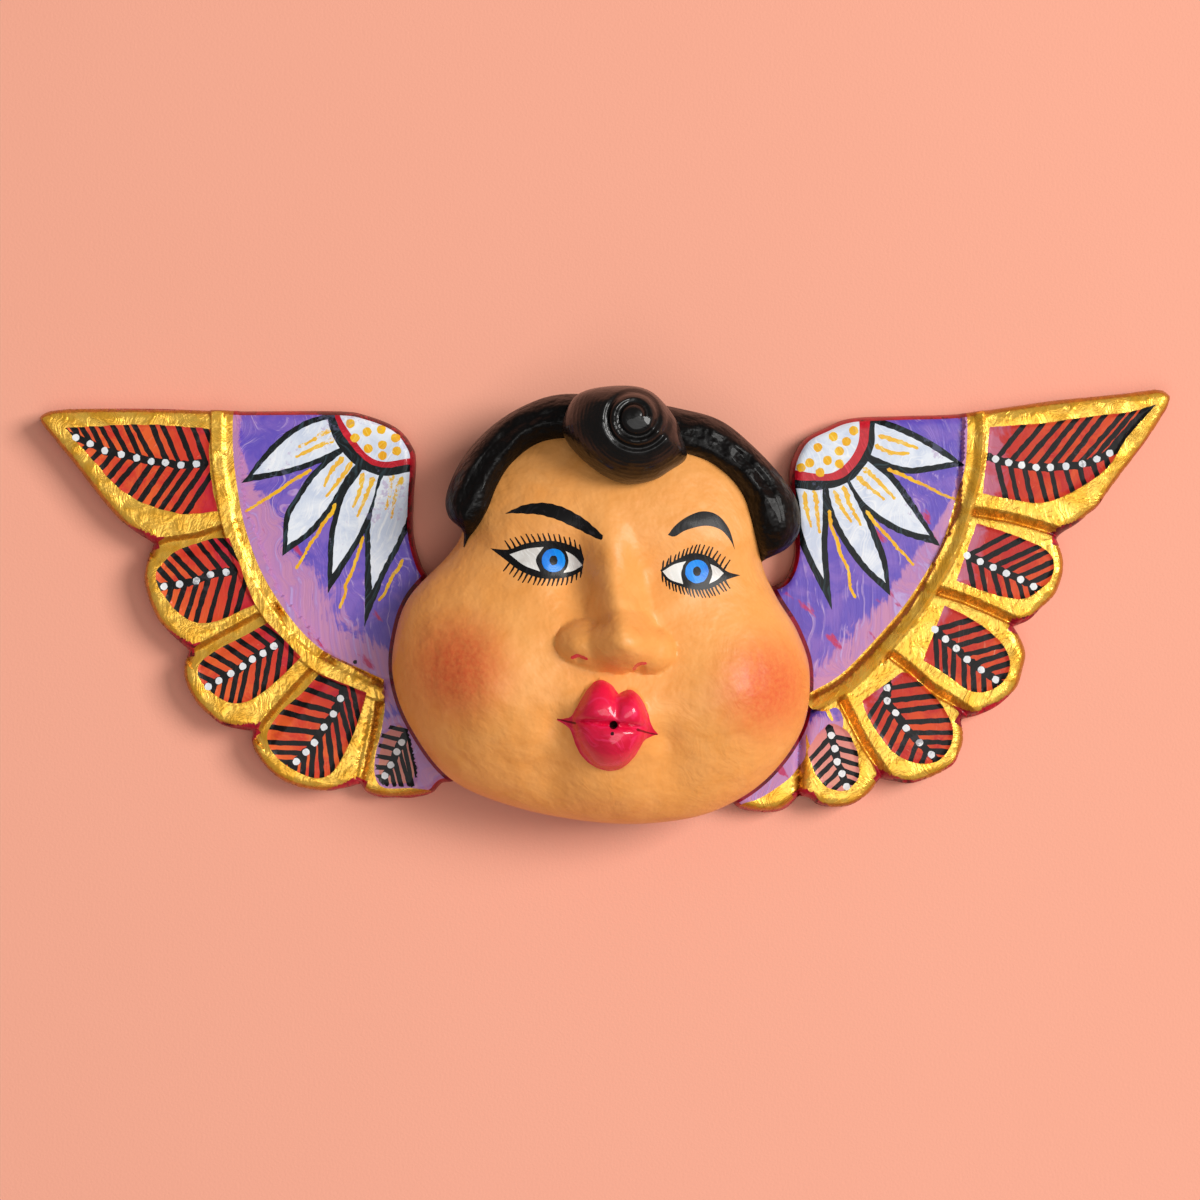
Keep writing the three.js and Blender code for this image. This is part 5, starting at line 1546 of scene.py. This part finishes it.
curl_line = smooth_line(curl_points[::-1], 0.5, closed=True) - CURL_CENTRE
angles = np.arctan2(curl_line[:, 1], curl_line[:, 0]) % (2 * math.pi)
order = np.argsort(angles)
reach = np.interp(turn, angles[order], np.linalg.norm(curl_line, axis=1)[order], period=2 * math.pi)
curl_outline = np.column_stack([np.cos(turn), np.sin(turn)]) * reach[:, None]
curl = Body("curl")
curl_rings = []
for share, z in ((0.82, CURL_FOOT_Z), (0.87, 44), (0.92, 54), (0.985, 61)):
    curl_rings.append(curl.add_ring(CURL_CENTRE + curl_outline * share, z))
for r in range(CURL_RINGS):
    share = math.cos(math.pi / 2 * (r / CURL_RINGS) ** 1.1)
    ring_xy = curl_ring(share)
    z = CURL_WAIST_Z + CURL_RISE * math.sqrt(1 - share**2.1) ** 1.15
    x, y = (ring_xy - CURL_BUTTON).T
    distance = np.hypot(x, y)
    angle = np.arctan2(y, x) % (2 * math.pi)
    wound = distance / GROOVE_PER_TURN - angle / (2 * math.pi)
    strands = 0.07 * np.sin(2 * math.pi * 3.0 * wound + 0.6 * np.sin(3 * angle))
    strands *= smooth_step(4, 8, distance)
    height = z - groove_depth(distance, angle) * (1 - smooth_step(0.93, 1, share)) + strands
    curl_rings.append(curl.add_ring(ring_xy, height))
for ring, next_ring in zip(curl_rings, curl_rings[1:]):
    curl.strip(ring, next_ring, "curl_paint")
curl.fan(curl_rings[0][::-1], (*CURL_CENTRE, CURL_FOOT_Z), "curl_paint")
curl.fan(curl_rings[-1], (*CURL_BUTTON, CURL_WAIST_Z + CURL_RISE), "curl_paint")
curl_piece = curl.build()
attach(curl_piece, "root")
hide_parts("head")

# %% [markdown]
# ## Floor, light and camera
# The mask lies on its back, so the camera looks straight down at it, as the photograph looks
# straight at the wall. A large soft lamp from the right shades the left side of the nose and
# throws the shadow to the left. A second, weak one above the mask is what the gold reflects, and
# a pale surround fills the rest.

# %% Floor
tree, shader = new_finish("pale_floor")
place = object_place(tree)
base = mix_colour(tree, noise(tree, place, 6.0, 6.0), (251, 175, 150), (248, 171, 145))
tree.links.new(base, shader.inputs["Base Color"])
shader.inputs["Roughness"].default_value = 0.9
add_bump(tree, shader, noise(tree, place, 900.0), 0.0001)
bpy.ops.mesh.primitive_plane_add(size=6, location=(0, 0, -0.0002))
floor = bpy.context.object
floor.name = "floor"
floor.data.materials.append(finishes["pale_floor"])

# %% Lamps and surround
world = bpy.data.worlds.new("surround")
bpy.context.scene.world = world
world.use_nodes = True
world.node_tree.nodes["Background"].inputs["Color"].default_value = (1.0, 0.96, 0.93, 1)
world.node_tree.nodes["Background"].inputs["Strength"].default_value = 0.22


def soft_lamp(name, place, target, size, power, colour):
    data = bpy.data.lights.new(name, "AREA")
    data.shape = "RECTANGLE"
    data.size, data.size_y = size
    data.energy = power
    data.color = colour
    lamp = bpy.data.objects.new(name, data)
    lamp.location = place
    lamp.rotation_euler = (Vector(target) - Vector(place)).to_track_quat("-Z", "Y").to_euler()
    bpy.context.collection.objects.link(lamp)


soft_lamp("key_lamp", (3.45, 1.15, 3.75), (0, 0, 0), (2.2, 2.2), 223, (1.0, 0.985, 0.96))
soft_lamp("front_lamp", (0.2, -0.3, 1.9), (0, 0, 0), (1.5, 0.9), 8.8, (1.0, 0.99, 0.97))

# %% Camera
CAMERA_CENTRE = (-2.06, 2.35)
CAMERA_HEIGHT = 1515
FIELD_OF_VIEW = 504  # millimetres seen across, 1500 below the camera
camera_data = bpy.data.cameras.new("camera")
camera_data.sensor_width = 36
camera_data.lens = 36 * 1500 / FIELD_OF_VIEW
camera = bpy.data.objects.new("camera", camera_data)
camera.location = (CAMERA_CENTRE[0] * MM, CAMERA_CENTRE[1] * MM, CAMERA_HEIGHT * MM)
bpy.context.collection.objects.link(camera)
bpy.context.scene.camera = camera
bpy.context.scene.view_settings.view_transform = "Standard"
